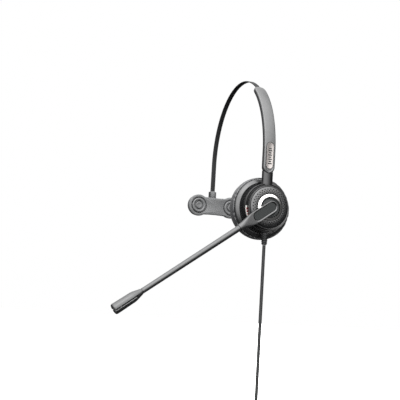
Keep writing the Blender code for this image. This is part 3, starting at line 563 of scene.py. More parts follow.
def build_light():
    """Surround of a product tent: bright above on the earpiece side, dim behind, dark below."""
    soft_light("key", (0.62, -0.33, 0.71), 1.4, (0.7, 0.7), 5)

    world = bpy.data.worlds.new("surround")
    bpy.context.scene.world = world
    world.use_nodes = True
    tree = world.node_tree
    tree.nodes.clear()
    link = tree.links.new
    place = tree.nodes.new("ShaderNodeTexCoord")

    def lobe(direction, stops):
        """Strength by the cosine to a direction, as (cosine, strength) stops."""
        dot = tree.nodes.new("ShaderNodeVectorMath")
        dot.operation = "DOT_PRODUCT"
        dot.inputs[1].default_value = Vector(direction).normalized()
        link(place.outputs["Generated"], dot.inputs[0])
        total = None
        for (start, low), (end, high) in zip(stops, stops[1:]):
            step = tree.nodes.new("ShaderNodeMapRange")
            for socket, value in (("From Min", start), ("From Max", end), ("To Min", 0.0),
                                  ("To Max", high - low)):
                step.inputs[socket].default_value = value
            link(dot.outputs["Value"], step.inputs["Value"])
            total = joined(total, step.outputs["Result"])
        return total

    def joined(first, second):
        """Sum of two values."""
        if first is None:
            return second
        both = tree.nodes.new("ShaderNodeMath")
        link(first, both.inputs[0])
        link(second, both.inputs[1])
        return both.outputs["Value"]

    above = lobe((0.60, -0.35, 0.72), ((0.02, 0.0), (0.16, 0.15), (0.32, 0.9), (0.48, 2.6),
                                       (0.64, 5.6), (0.80, 7.5)))
    base = tree.nodes.new("ShaderNodeValue")
    base.outputs["Value"].default_value = 0.10
    behind = lobe((-0.65, 0.05, 0.75), ((0.75, 0.0), (0.92, 1.6)))
    strength = joined(joined(above, behind), base.outputs["Value"])
    shade = tree.nodes.new("ShaderNodeBackground")
    white = tree.nodes.new("ShaderNodeBackground")
    white.inputs["Color"].default_value = (1, 1, 1, 1)
    rays = tree.nodes.new("ShaderNodeLightPath")
    mix = tree.nodes.new("ShaderNodeMixShader")
    out = tree.nodes.new("ShaderNodeOutputWorld")
    link(strength, shade.inputs["Strength"])
    link(rays.outputs["Is Camera Ray"], mix.inputs[0])
    link(shade.outputs["Background"], mix.inputs[1])
    link(white.outputs["Background"], mix.inputs[2])
    link(mix.outputs["Shader"], out.inputs["Surface"])
    bpy.context.scene.view_settings.view_transform = "Standard"


# ---------- cord

CORD_RADIUS = 1.5
CORD_EXIT = Vector(((RELIEF_LOW.x + RELIEF_HIGH.x) / 2, 0, RELIEF_LOW.z - GAP))
COIL_CENTRE = (COIL_LOW + COIL_HIGH) / 2
OUTER_TURN = COIL_HIGH.y - CORD_RADIUS
COLUMN = (COIL_HIGH.x - COIL_LOW.x) / 2 - CORD_RADIUS
ENTRY_BEND = 7.0
# Turns from the first to the last, as steps inwards and columns sideways
TURNS = ((0, 0), (0, -1), (1, -1), (2, -1), (3, -1), (3, 0), (3, 1), (2, 1), (1, 1), (0, 1))
TURN_STEP = 300.0                    # degrees between one move to the next turn and the following
MOVE = 60.0                          # degrees that a move takes


def coil_point(angle):
    """A point on the wound cord; the angle is degrees from the top towards +Y."""
    number = min(int(angle // TURN_STEP), len(TURNS) - 1)
    t = smooth_step((angle - number * TURN_STEP) / MOVE) if number else 1.0
    start, end = TURNS[max(0, number - 1)], TURNS[number]
    inward, sideways = (a + (b - a) * t for a, b in zip(start, end))
    radius = OUTER_TURN - inward * COLUMN
    turn = math.radians(angle)
    return Vector((COIL_CENTRE.x + sideways * COLUMN, radius * math.sin(turn),
                   COIL_CENTRE.z + radius * math.cos(turn)))


def cord_route():
    """The cord's whole centreline from the strain relief to the plug's boot."""
    spacing = OUTER_TURN + ENTRY_BEND
    bend_height = COIL_CENTRE.z + math.sqrt(spacing ** 2 - ENTRY_BEND ** 2)
    points = [Vector((CORD_EXIT.x, 0, z)) for z in spread(CORD_EXIT.z, bend_height, 24)]
    bend = 90.0 - math.degrees(math.asin(ENTRY_BEND / spacing))
    for c, s in map(unit, spread(0, bend, 9)[1:]):
        points.append(Vector((CORD_EXIT.x, ENTRY_BEND * (1 - c), bend_height - ENTRY_BEND * s)))
    first = 90.0 - bend
    last = 90.0 + 360.0 * 8
    points += [coil_point(a) for a in spread(first, last, 330)[1:]]
    tail_x, tail_y = COIL_CENTRE.x + COLUMN, OUTER_TURN
    points += [Vector((tail_x, tail_y, z)) for z in spread(COIL_CENTRE.z, TAIL_END, 10)[1:]]
    return points


def build_cord():
    """The cord as one curve."""
    curve = bpy.data.curves.new("cord", "CURVE")
    curve.dimensions = "3D"
    curve.bevel_depth = CORD_RADIUS * MM
    curve.bevel_resolution = 6
    curve.use_fill_caps = True
    spline = curve.splines.new("POLY")
    route = cord_route()
    spline.points.add(len(route) - 1)
    for point, place in zip(spline.points, route):
        point.co = (*(place * MM), 1.0)
    obj = bpy.data.objects.new("cord", curve)
    bpy.context.scene.collection.objects.link(obj)
    return dress(obj, LOOK["jacket"], "arm", "cord_jacket", "cord_lead", "cord_coil", "cord_tail")


def build_tie():
    """Soft strap round the coil, its edges rounded."""
    turn = math.radians(28)
    place = Matrix.Translation(COIL_CENTRE) @ Matrix.Rotation(-turn, 4, "X")
    half = COLUMN + CORD_RADIUS + 0.35
    low = OUTER_TURN - 3 * COLUMN - CORD_RADIUS - 0.35
    high = OUTER_TURN + CORD_RADIUS + 0.35

    def loop(grow, y):
        """A round-cornered loop, grown outwards."""
        corners = ((half, low, -90), (half, high, 0), (-half, high, 90), (-half, low, 180))
        points = []
        for x, z, start in corners:
            centre = (x - math.copysign(1.2, x), z + (1.2 if z == low else -1.2))
            points += arc(centre, 1.2 + grow, start, start + 90, 5)
        return [place @ Vector((x, y, z)) for x, z in points]

    rings = [loop(0.15, -2.6), loop(0.75, -2.6), loop(0.9, -2.3), loop(0.9, 2.3), loop(0.75, 2.6),
             loop(0.15, 2.6), loop(0.0, 2.3), loop(0.0, -2.3)]
    tie = mesh_object("cord_tie_strap", loft(rings, closed=True))
    return dress(tie, LOOK["strap"], "arm", "matte_plastic", "cord_tie")


def rib(radius, z, depth, height, gap):
    """Outline of one rib and the groove, gap high, below it."""
    floor = z - height - 0.2
    return [(radius, z), (radius, z - height), (radius - depth, floor), (radius - depth, floor - gap)]


def build_relief():
    """Ribbed strain relief that narrows to the cord."""
    centre = Matrix.Translation((CORD_EXIT.x, 0, 0))
    profile = [(0, -20.7), (1.4, -20.7), (1.4, -22.8), (2.2, -22.9), (2.6, -23.4), (2.6, -24.2)]
    for k in range(6):
        profile += rib(3.2 - 0.1 * k, -24.6 - 1.62 * k, 0.55, 0.75, 0.45)
    profile += [(2.1, -34.2), (1.9, -34.3), (0, -34.3)]
    relief = mesh_object("ribbed_strain_relief", lathe(softened(profile, 0.22, 2), centre, 48))
    return dress(relief, LOOK["jacket"], "arm", "cord_jacket", "strain_relief")


def build_plug():
    """Quick-disconnect plug with finger ridges on its two shells, and the ribbed boot."""
    tail = Vector((COIL_CENTRE.x + COLUMN, OUTER_TURN, TAIL_END))
    centre = Matrix.Translation(tail)
    profile = [(0, -GAP), (2.0, -GAP)]
    for k in range(5):
        profile += rib(2.3 + 0.2 * k, -0.8 - 1.75 * k, 0.45, 0.8, 0.5)
    profile += [(3.2, -9.7), (0, -9.7)]
    boot = mesh_object("ribbed_plug_boot", lathe(softened(profile, 0.2, 2), centre, 48))
    pieces = [dress(boot, LOOK["jacket"], "arm", "cord_jacket", "plug_boot")]
    for name, side in (("outer", 1), ("inner", -1)):
        rings = []
        heights = spread(-10.0, -36.0, 79)
        for z in heights:
            t = smooth_step((-10.0 - z) / 6.0)
            half_y, depth = 3.6 + 2.0 * t, 2.6 + 1.4 * t
            grip = 0.22 * max(0.0, math.sin(math.pi * (z + 17.0) / 1.5)) if -29 < z < -17 else 0.0
            outer = [(half_y, 0.15)]
            for a in spread(0, 180, 13):
                c, s = unit(a)
                outer.append(((half_y - 1.2) * math.copysign(abs(c) ** 0.3, c) + 1.2 * c,
                              0.15 + (depth - 0.15 - grip) * abs(s) ** 0.5))
            outer.append((-half_y, 0.15))
            core = [(1.3 - half_y, 0.15), (1.3 - half_y, depth - 1.4), (half_y - 1.3, depth - 1.4),
                    (half_y - 1.3, 0.15)]
            rings.append([centre @ Vector((side * x, y, z)) for y, x in outer + core])
        shell = mesh_object("plug_grip_" + name, loft(rings))
        pieces.append(dress(shell, LOOK["satin"], "arm", "satin_plastic", "plug_shell_" + name))
    return pieces


# ---------- headband

HOUSING_FOOT_ARC = arm_arc(HOUSING_FOOT)
TOP_ROUND = 6.0
TIP_HALF = 3.6                       # half width and thickness at the upper tip
TIP_THICK = 1.7
PART_LINE = 0.15                     # each shell stops this far from the middle
PLATE_FRAME = arch_matrix(arm_arc((PLATE_LOW.z + PLATE_HIGH.z) / 2))
PLATE_LENGTH = PLATE_HIGH.z - PLATE_LOW.z
PLATE_WIDTH = PLATE_HIGH.y - PLATE_LOW.y


def housing_half_width(s):
    """Half width of the housing: a half circle below, a blunt round tip above."""
    foot = HOUSING_FOOT_ARC - s
    if foot < HOUSING_HALF_WIDTH:
        reach = max(0.0, HOUSING_HALF_WIDTH ** 2 - (HOUSING_HALF_WIDTH - foot) ** 2)
        return max(0.9, math.sqrt(reach))
    top = s - HOUSING_TOP_ARC
    if top < TOP_ROUND:
        t = 1.0 - max(0.0, top) / TOP_ROUND
        return TIP_HALF + (HOUSING_HALF_WIDTH - TIP_HALF) * math.sqrt(1.0 - t * t)
    return HOUSING_HALF_WIDTH


def housing_stations():
    """Cross-section places along the housing, closer together at its ends."""
    top = [HOUSING_TOP_ARC + TOP_ROUND * (1 - math.cos(0.5 * math.pi * k / 12)) for k in range(13)]
    foot_start = HOUSING_FOOT_ARC - HOUSING_HALF_WIDTH
    foot = [foot_start + HOUSING_HALF_WIDTH * math.sin(0.5 * math.pi * k / 16) for k in range(1, 17)]
    return top + spread(top[-1] + 1.5, foot_start - 0.5, 60) + [foot_start] + foot


def housing_section(half, low, high, edge, crown):
    """Half shell section: flat parting face at low, crowned outer face with round edges."""
    side = 1.0 if high > low else -1.0
    soft = min(edge, 0.8 * half)
    inner = half - soft
    corner = [(half, low)] + [(inner + soft * c, high - side * (soft + crown) + side * soft * s)
                              for c, s in map(unit, spread(0, 90, 7))]
    top = [(inner * t, high - side * crown * t * t) for t in spread(1.0, -1.0, 9)[1:-1]]
    return corner + top + [(-u, v) for u, v in reversed(corner)]


def housing_thickness(s):
    """Outer face's distance from the middle, which shrinks towards the upper tip."""
    t = min(1.0, max(0.0, (s - HOUSING_TOP_ARC) / 45.0))
    return TIP_THICK + (HOUSING_HALF_THICK - TIP_THICK) * t * (2 - t)


def arch_bar(stations, section):
    """Sweep a cross-section of (across, out) points along the arch."""
    return loft([[on_arch(s, across, out) for across, out in section(s)] for s in stations])


def slab_section(half, low, high):
    """A plain rectangle."""
    return [(-half, low), (half, low), (half, high), (-half, high)]


def build_band():
    """Spring strip with softly rounded edges."""
    half, thick, soft = STRIP_WIDTH / 2, STRIP_THICK / 2, 0.28

    def section(s):
        """Rectangle with round corners."""
        points = []
        for u, v, start in ((1, 1, 0), (-1, 1, 90), (-1, -1, 180), (1, -1, 270)):
            points += arc((u * (half - soft), v * (thick - soft)), soft, start, start + 90, 3)
        return points

    foot = -arm_arc(STRIP_LOW.z)
    stations = spread(foot, -QUARTER, 8)[:-1] + spread(-QUARTER, STRIP_EAR_ARC, 150)
    strip = mesh_object("spring_strip", arch_bar(stations, section))
    return dress(strip, LOOK["steel"], "headband", "spring_steel", "band_strip")


def build_housing():
    """The two shells of the housing, with the plate's pocket and the tongue's room."""
    stations = housing_stations()
    cavity_top = arm_arc(68.0)

    def front(s):
        """Section of the outer shell."""
        return housing_section(housing_half_width(s), PART_LINE, housing_thickness(s), 1.35, 0.25)

    def back(s):
        """Section of the inner shell."""
        return housing_section(housing_half_width(s), -PART_LINE, -HOUSING_HALF_THICK, 0.6, 0.0)

    def cutters():
        """Strip slot and tongue room, made afresh for each shell."""
        slot = arch_bar(spread(HOUSING_TOP_ARC - 3, STRIP_EAR_ARC + 1, 24),
                        lambda s: slab_section(STRIP_WIDTH / 2 + GAP, -STRIP_THICK / 2 - GAP,
                                               STRIP_THICK / 2 + GAP))
        room = arch_bar(spread(cavity_top, HOUSING_FOOT_ARC + 3, 24),
                        lambda s: slab_section(4.4, -1.5, 1.5))
        return [slot, room]

    def screw_holes():
        """Stepped holes for the two housing screws."""
        profile = [(0, -3.4), (2.0, -3.4), (2.0, -1.6), (1.2, -1.6), (1.2, 1.4), (0, 1.4)]
        return [lathe(profile, arch_matrix(s), 32) for s in (STRIP_EAR_ARC - 4.0, cavity_top - 6.0)]

    outer = mesh_object("housing_front", arch_bar(stations, front))
    inner = mesh_object("housing_back", arch_bar(stations, back))
    # the pocket's wall slopes, so that its rim catches the light
    wide = stadium(PLATE_LENGTH + 5.0, PLATE_WIDTH + 2.6, 24)
    tight = stadium(PLATE_LENGTH + 2.2, PLATE_WIDTH + 0.8, 24)
    pocket = loft([[PLATE_FRAME @ Vector((u, v - 0.7, w)) for u, v in outline]
                   for outline, w in ((tight, 1.75), (tight, 1.85), (wide, 2.7), (wide, 4.0))])
    cut(outer, cutters() + screw_holes() + [pocket])
    cut(inner, cutters() + screw_holes())
    dress(outer, LOOK["housing"], "headband", "satin_plastic", "housing_outer_shell", angle=30)
    dress(inner, LOOK["dark"], "headband", "matte_plastic", "housing_inner_shell", angle=30)


LEVEL_MARKS = 8
MARK_PITCH = 2.0
MARK_HALF_HEIGHT = 0.55


def build_plate():
    """Dished brushed plate with a raised rim, and level marks in place of a name."""
    steps = ((1.00, 2.05), (1.00, 2.45), (0.97, 2.60), (0.90, 2.62), (0.84, 2.50))
    rings = []
    for share, w in steps:
        inset = (1 - share) * PLATE_WIDTH / 2
        outline = stadium(PLATE_LENGTH - 2 * inset, PLATE_WIDTH - 2 * inset, 24)
        rings.append([PLATE_FRAME @ Vector((u, v, w)) for u, v in outline])
    plate = mesh_object("size_plate", loft(rings))
    dress(plate, LOOK["plate"], "headband", "plate_metal", "name_plate")
    for number in range(LEVEL_MARKS):
        v = -7.4 + MARK_PITCH * number
        half = 1.9 if number % 2 == 0 else 1.3
        low, high = v - MARK_HALF_HEIGHT, v + MARK_HALF_HEIGHT
        outline = [(-half, low), (half, low), (half, high), (-half, high)]
        tick = mesh_object(f"size_mark_{number + 1}", prism(outline, PLATE_FRAME, 2.42, 2.56))
        dress(tick, LOOK["tick"], "headband", "plate_metal")


def build_strip_end():
    """Moulded end block on the strip, with a rounded glossy head."""
    low, high = box_mm("strip_end_block")
    end = mesh_object("strip_end", block(low, high))
    slot = block((TEMPLE_PIN.x - STRIP_THICK / 2 - GAP, -STRIP_WIDTH, STRIP_LOW.z - GAP),
                 (TEMPLE_PIN.x + STRIP_THICK / 2 + GAP, STRIP_WIDTH, high.z + 3))
    cut(end, [cross_hole(TEMPLE_PIN), slot])
    bevel(end, 0.6, 3)
    dress(end, LOOK["facing"], "headband", "grey_plastic", "strip_end_block")


# ---------- temple bar

WAIST_TOP = 9.0                      # half heights of the bar's waist
WAIST_FOOT = 9.2
PAD_RECESS = 8.5                     # radius of the well that each pad sits in


def bar_outline(inset=0.0, steps=36):
    """Two round lobes joined by a waist, as (y, z) points."""
    half = (PAD_HIGH.y + PAD_LOW.y) / -2
    height = (FACING_LOW.z + FACING_HIGH.z) / 2
    radius = (FACING_HIGH.z - FACING_LOW.z) / 2 - inset
    top_turn = math.degrees(math.asin((WAIST_TOP - inset) / radius))
    foot_turn = math.degrees(math.asin((WAIST_FOOT - inset) / radius))
    right = arc((half, height), radius, -(180 - foot_turn), 180 - top_turn, steps)
    left = arc((-half, height), radius, top_turn, 360 - foot_turn, steps)

    def waist(start, sag):
        """Shallow curve from a lobe's last point to the same height on the other lobe."""
        return [(y, start[1] + sag * math.sin(math.pi * k / 8))
                for k, y in enumerate(spread(start[0], -start[0], 9))][1:-1]

    return right + waist(right[-1], -0.3) + left + waist(left[-1], 0.35)


CHEEK_THICK = 1.0


def build_temple_bar():
    """Frame with its fork, soft facing with two ringed pads."""
    face = FACING_HIGH.x
    steps = ((0.7, -3.5), (0.0, -2.9), (0.0, -0.7), (0.25, -0.2), (0.8, 0.0))
    rings = [[Vector((face + x, y, z)) for y, z in bar_outline(inset)] for inset, x in steps]
    facing = mesh_object("temple_facing", loft(rings))
    side = (PAD_HIGH.y - PAD_LOW.y) / 2
    height = (PAD_HIGH.z + PAD_LOW.z) / 2
    centre_y = (PAD_HIGH.y + PAD_LOW.y) / 2
    cut(facing, [rod(PAD_RECESS, axis_x(face, y, height), -2.2, 1.0, 72) for y in (centre_y, -centre_y)])
    bevel(facing, 0.12, 2, 50)
    dress(facing, LOOK["facing"], "temple_bar", "pad_rubber", "temple_bar_facing")

    profile = [(0, -1.9), (side, -1.9), (side, -0.3), (side - 0.5, 0.2), (side - 1.2, 0.3),
               (5.6, 0.15), (4.9, -0.2), (4.7, -1.5), (3.7, -1.5), (3.5, -0.3), (3.1, 0.2),
               (2.4, 0.2), (1.4, -0.05), (0, -0.15)]
    for name, y in (("front", centre_y), ("rear", -centre_y)):
        place = axis_x(face, y, height)
        pad = mesh_object("ringed_pad_" + name, lathe(softened(profile, 0.3, 3), place, 72))
        dress(pad, LOOK["facing"], "temple_bar", "pad_rubber", "round_pad_" + name)

    low, high = box_mm("temple_bar_frame")
    steps = ((1.4, -7.0), (0.7, -6.6), (0.5, -6.0), (0.5, -3.8))
    rings = [[Vector((face + x, y, z)) for y, z in bar_outline(inset)] for inset, x in steps]
    bar = mesh_object("temple_frame", loft(rings))
    pin = TEMPLE_PIN
    inside = box_mm("strip_end_block")[1].y + GAP
    side_view = [(low.x, height - 2), (face - 4.4, height - 2), (face - 4.4, height + 7.0),
                 (pin.x + 1.7, pin.z - 2.0), (pin.x + 1.7, high.z), (low.x, high.z)]
    cheeks = [loft([[Vector((x, side * y, z)) for x, z in side_view]
                    for y in (inside, inside + CHEEK_THICK)]) for side in (-1, 1)]
    cut(bar, cheeks, "UNION")
    cut(bar, [cross_hole(pin)])
    bevel(bar, 0.3, 2, 50)
    dress(bar, LOOK["dark"], "temple_bar", "satin_plastic", "temple_bar_frame")


# ---------- sliding arm and yoke

YOKE_FACE = 67.3
STEM_HALF_WIDTH = 5.1


def build_yoke():
    """Yoke cup with a raised lip, which grows into the rounded stem."""
    inner, outer = YOKE_LOW.x, YOKE_FACE
    rim = YOKE_RADIUS
    profile = softened([(5.4, outer), (rim - 1.3, outer), (rim - 0.4, outer + 0.35),
                        (rim - 0.2, outer + 0.35), (rim, outer), (rim, inner),
                        (rim - 1.4, inner), (rim - 1.4, outer - 1.4), (5.4, outer - 1.4)], 0.3)
    yoke = mesh_object("yoke_cup", lathe(profile, axis_x(), 144))
    rings = []
    half = STEM_HALF_WIDTH
    for z in spread(21.2, 35.5, 15):
        front = [(65.4 + 2.8 * s, -half * c) for c, s in map(unit, spread(0, 180, 25))]
        section = [(63.4, -half)] + front + [(63.4, half)]
        rings.append([Vector((x, y, z)) for x, y in section])
    cut(yoke, [loft(rings)], "UNION")
    low, high = box_mm("ratchet_tongue")
    scoop = rod(HOUSING_HALF_WIDTH + 0.4, axis_x(0, 0, HOUSING_FOOT + HOUSING_HALF_WIDTH), 60, 72, 71)
    slot = block((low.x - GAP, low.y - GAP, low.z - GAP), (high.x + GAP, high.y + GAP, 40))
    pin_hole = rod(1.2, axis_x(0, 0, 28.9), 62, 67.2)
    neck = rod(1.75, Matrix.Translation((CORD_EXIT.x, 0, 0)), -24.5, -20.0)
    cut(yoke, [pin_hole, scoop, slot, neck])
    dress(yoke, LOOK["black"], "arm", "satin_plastic", "yoke", angle=35)


def build_label():
    """White band on the yoke's face, with plain red marks."""
    low, high = box_mm("side_label")
    ring = arc((0, 0), 22.0, 179, 206, 18) + arc((0, 0), 20.4, 206, 179, 18)
    label = mesh_object("side_band", prism([(y, z) for y, z in ring], axis_x(), low.x, high.x))
    dress(label, LOOK["label"], "arm", "label", "side_label")
    marks = ((184, 189.5), (190.5, 196), (199.5, 203.5))       # degrees round the yoke
    for number, (start, end) in enumerate(marks):
        ring = arc((0, 0), 21.2, start, end, 6) + arc((0, 0), 20.5, end, start, 6)
        mark = mesh_object(f"side_mark_{number + 1}", prism(ring, axis_x(), high.x, high.x + 0.03))
        dress(mark, LOOK["mark"], "arm", "label")


# ---------- earpiece

def build_shell():
    """Earpiece shell: satin dish with a stepped rim."""
    rim = SHELL_RADIUS
    profile = [(3.4, 60.3), (5.8, 60.3), (5.8, 58.0), (23.8, 58.0), (24.0, 59.3), (24.6, 59.3),
               (rim - 0.9, 57.8), (rim - 0.2, 56.9), (rim - 0.2, 55.0), (26.0, 55.0),
               (25.6, 55.9), (24.4, 56.8), (5.8, 56.8), (5.8, 54.3), (4.3, 54.3), (4.3, 59.5),
               (3.4, 59.5)]
    shell = mesh_object("ear_shell", lathe(softened(profile, 0.4, 4), axis_x(), 144))
    dress(shell, LOOK["satin"], "earpiece", "satin_plastic", "earpiece_shell")


def cushion_skin():
    """Closed ring of the cushion, a little slimmer than it will be once filled."""
    lip = SHELL_RADIUS + GAP
    outline = [(25.2, 54.6), (lip, 54.6), (lip, 56.2), (lip + 0.35, 56.7), (28.9, 56.5),
               (29.3, 55.2), (29.4, 51.0), (29.1, 48.2), (28.1, 45.0),
               (26.5, 42.9), (24.2, 41.8), (20.9, 41.8), (18.3, 42.9),
               (16.6, 45.0), (16.2, 47.5), (25.2, 47.5)]
    return mesh_object("leatherette_cushion", lathe(softened(outline, 0.8, 3), axis_x(), 96))


FILL_FRAMES = 15
FILL_LIMIT = 0.0007                  # metres that the filling may move the skin


def fill_cushion(cushion):
    """Blow the skin up slightly with a cloth simulation; its rim stays held by the shell."""
    remesh = cushion.modifiers.new("remesh", "REMESH")
    remesh.mode = "VOXEL"
    remesh.voxel_size = 0.0013
    settle(cushion)
    rest = [v.co.copy() for v in cushion.data.vertices]
    held = cushion.vertex_groups.new(name="held")
    for index, point in enumerate(rest):
        if point.x > 0.0512 or math.hypot(point.y, point.z) < 0.0262 and point.x > 0.0466:
            held.add([index], 1.0, "REPLACE")
    mod = cushion.modifiers.new("fill", "CLOTH")
    mod.settings.vertex_group_mass = "held"
    mod.settings.use_pressure = True
    mod.settings.uniform_pressure_force = 3.0
    mod.settings.effector_weights.gravity = 0.0
    mod.settings.tension_stiffness = 25.0
    mod.settings.compression_stiffness = 6.0
    mod.settings.bending_stiffness = 0.4
    mod.point_cache.frame_end = 20
    scene = bpy.context.scene
    for step in range(1, FILL_FRAMES + 1):
        scene.frame_set(step)
    settle(cushion)
    scene.frame_set(1)
    for vert, start in zip(cushion.data.vertices, rest):
        shift = vert.co - start
        if shift.length > FILL_LIMIT:
            shift *= FILL_LIMIT / shift.length
        vert.co = start + shift
    cushion.vertex_groups.clear()
    smooth = cushion.modifiers.new("smooth", "SMOOTH")
    smooth.factor = 0.5
    smooth.iterations = 12
    divide = cushion.modifiers.new("divide", "SUBSURF")
    divide.levels = divide.render_levels = 1
    settle(cushion)


def wrinkle_cushion(cushion):
    """Small radial puckers at the seam, and a soft unevenness all over."""
    for vert in cushion.data.vertices:
        point = vert.co / MM
        radius = math.hypot(point.y, point.z)
        turn = math.atan2(point.z, point.y)
        out = Vector((0, point.y, point.z)).normalized()
        pucker = 0.0
        if radius > 26:
            near = max(0.0, 1.0 - abs(point.x - 52.6) / 3.2)
            pucker = -0.05 * near * (0.5 + 0.5 * math.sin(46 * turn + 1.5 * math.sin(5 * turn)))
        inner = max(0.0, 1.0 - abs(radius - 17.5) / 2.5) * max(0.0, 1.0 - abs(point.x - 45.0) / 4.0)
        pucker += 0.16 * inner * math.sin(34 * turn + 2.0 * math.sin(3 * turn))
        lump = 0.06 * noise.noise(point * 0.22)
        vert.co += out * (pucker + lump) * MM


def build_cushion():
    """Leatherette ring cushion with a stitched seam on its side."""
    cushion = cushion_skin()
    fill_cushion(cushion)
    wrinkle_cushion(cushion)
    dress(cushion, LOOK["leather"], "earpiece", "leatherette", "ear_cushion", angle=60)


# ---------- boom

HOLE_ROWS = ((13.75, 0.0), (15.3, 0.5), (16.85, 0.0))
HOLES_PER_ROW = 36
HOLE_RADIUS = 0.6
RING_INNER = 9.9
RING_DROP = 0.95                     # from the ring's inner edge to its outer edge


def build_drum():
    """Drum base, perforated dome, bright ring and hub disc."""
    rim = DRUM_RADIUS
    base = [(3.0, 64.7), (4.9, 64.7), (4.9, 65.0), (4.0, 65.0), (4.0, 65.7), (5.0, 65.7),
            (5.0, 68.3), (12.0, 68.3), (12.0, 67.6), (rim - 0.4, 67.6), (rim, 68.0),
            (rim, 71.2), (rim - 0.15, 71.75), (rim - 0.35, 71.8), (rim - 1.25, 71.45),
            (18.2, 71.3), (18.2, 69.4), (5.5, 69.4), (5.5, 72.0), (1.5, 72.0), (1.5, 68.9),
            (3.0, 68.9)]
    drum = mesh_object("drum_body", lathe(softened(base, 0.3, 3), axis_x(), 144))
    dress(drum, LOOK["satin"], "boom", "satin_plastic", "drum_base")

    dome = [(19.2, 71.8), (19.0, 72.5), (18.2, 73.1), (17.0, 73.45), (15.2, 73.8), (12.7, 74.0),
            (12.7, 73.0), (15.0, 72.8), (17.0, 72.3), (18.0, 71.8)]
    cap = mesh_object("perforated_dome", lathe(softened(dome, 0.35, 3), axis_x(), 160))
    holes = bmesh.new()
    for radius, shift in HOLE_ROWS:
        for k in range(HOLES_PER_ROW):
            turn = 2 * math.pi * (k + shift) / HOLES_PER_ROW
            place = axis_x(0, radius * math.cos(turn), radius * math.sin(turn))
            pin = rod(HOLE_RADIUS, place, 71.0, 75.0, 10)
            mesh = bpy.data.meshes.new("pin")
            pin.to_mesh(mesh)
            pin.free()
            holes.from_mesh(mesh)
            bpy.data.meshes.remove(mesh)
    cut(cap, [holes])
    dress(cap, LOOK["grey"], "boom", "grey_plastic", "drum_dome", angle=30)

    # the ring's face leans outwards; the close pairs of points keep it flat up to its edges
    high = RING_HIGH.x
    outer = RING_HIGH.y - 0.4
    face = [(outer - share * (outer - RING_INNER), high - RING_DROP + RING_DROP * share)
            for share in (0, 0.08, 0.5, 0.92, 1)]
    trim = [(RING_INNER, RING_LOW.x), (outer, RING_LOW.x)] + face
    ring = mesh_object("silver_trim", lathe(trim, axis_x(), 160))
    dress(ring, LOOK["chrome"], "boom", "silver_trim", "trim_ring")

    hub = [(1.5, HUB_BACK), (9.6, HUB_BACK), (9.6, 73.7), (9.1, 74.0), (8.6, 73.9), (8.1, 73.5),
           (7.4, 73.5), (6.4, 74.1), (5.0, 74.6), (1.5, 74.6)]
    disc = mesh_object("hub_cover", lathe(softened(hub, 0.35, 3), axis_x(), 120))
    dress(disc, LOOK["inlay"], "boom", "satin_plastic", "hub_disc")


def boom_point(along, across, x):
    """A point by its distance along the boom, across it, and its X."""
    return Vector((x, 0, 0)) + ALONG * along + ACROSS * across


BOOM_FLAT = Matrix([(0, 0, 1, 0)] + [(ALONG[i], ACROSS[i], 0, 0) for i in (1, 2)] + [(0, 0, 0, 1)])
ARM_HALF = 5.6
ARM_LENGTH = 38.0
ARM_BACK, ARM_FACE = 75.0, 78.9
NECK_START = 19.0                    # the arm narrows from here
NECK_HALF = 3.2
NECK_DEPTH = 3.1
INLAY_END = 16.7


def arm_section(t):
    """Half width and X range of the boom arm at a distance along it."""
    low, high = ARM_BACK, ARM_FACE
    if t < 0:
        half = max(0.4, math.sqrt(max(0.0, ARM_HALF ** 2 - t * t)))
        return half, low, high
    blend = smooth_step((t - NECK_START) / (ARM_LENGTH - NECK_START))
    half = ARM_HALF + (NECK_HALF - ARM_HALF) * blend
    return half, low + (BOOM_X - NECK_DEPTH - low) * blend, high + (BOOM_X + NECK_DEPTH - high) * blend


def build_boom_arm():
    """Arm with its sunk inlay, narrowing to the tube."""
    rings = []
    tip = [-ARM_HALF * unit(a)[0] for a in spread(0, 90, 14)]
    for t in tip + spread(1.5, 18.0, 8) + spread(NECK_START, ARM_LENGTH, 24):
        half, low, high = arm_section(t)
        middle, depth = 0.5 * (low + high), 0.5 * (high - low)
        square = 0.16 + 0.84 * smooth_step((t - 21) / (ARM_LENGTH - 21))
        ring = []
        for a in spread(0, 360, 49)[:-1]:
            c, s = unit(a)
            ring.append(boom_point(t, half * math.copysign(abs(c) ** square, c),
                                   middle + depth * math.copysign(abs(s) ** square, s)))
        rings.append(ring)
    arm = mesh_object("boom_root", loft(rings))

    def slot_outline(radius, shift=0.0):
        """Round-ended outline round the inlay, shifted across the boom."""
        return (arc((INLAY_END, shift), radius, -90, 90, 20)
                + arc((0, shift), radius, 90, 270, 20))

    # steep wall above the inlay, which stays dark, and a sloping one below, which shines
    steps = ((4.5, 0.45, 75.8), (4.5, 0.45, 78.25), (4.95, -0.05, 78.75), (4.95, -0.05, 81.0))
    pocket = loft([[BOOM_FLAT @ Vector((u, v, w)) for u, v in slot_outline(radius, shift)]
                   for radius, shift, w in steps])
    hole = [(0, 74.0), (1.5, 74.0), (1.5, 76.3), (2.7, 76.3), (2.7, 79.5), (0, 79.5)]
    cut(arm, [pocket, lathe(hole, axis_x(), 32)])
    dress(arm, LOOK["satin"], "boom", "satin_plastic", "boom_arm", angle=30)

    low, high = box_mm("boom_inlay")
    rings = [[BOOM_FLAT @ Vector((u, v, w)) for u, v in slot_outline(radius)]
             for radius, w in ((3.95, low.x), (3.95, high.x - 0.2), (3.75, high.x))]
    inlay = mesh_object("arm_inlay", loft(rings))
    dress(inlay, LOOK["inlay"], "boom", "grey_plastic", "boom_inlay")


TUBE_START = ARM_LENGTH + GAP
TUBE_RADIUS = 2.75
TUBE_TAPER = 0.3
MIC_START = 146.0
MIC_LENGTH = 29.8
MIC_WALL = 1.0
SLOT_START = 6.0                     # the slot between the capsule's halves opens here


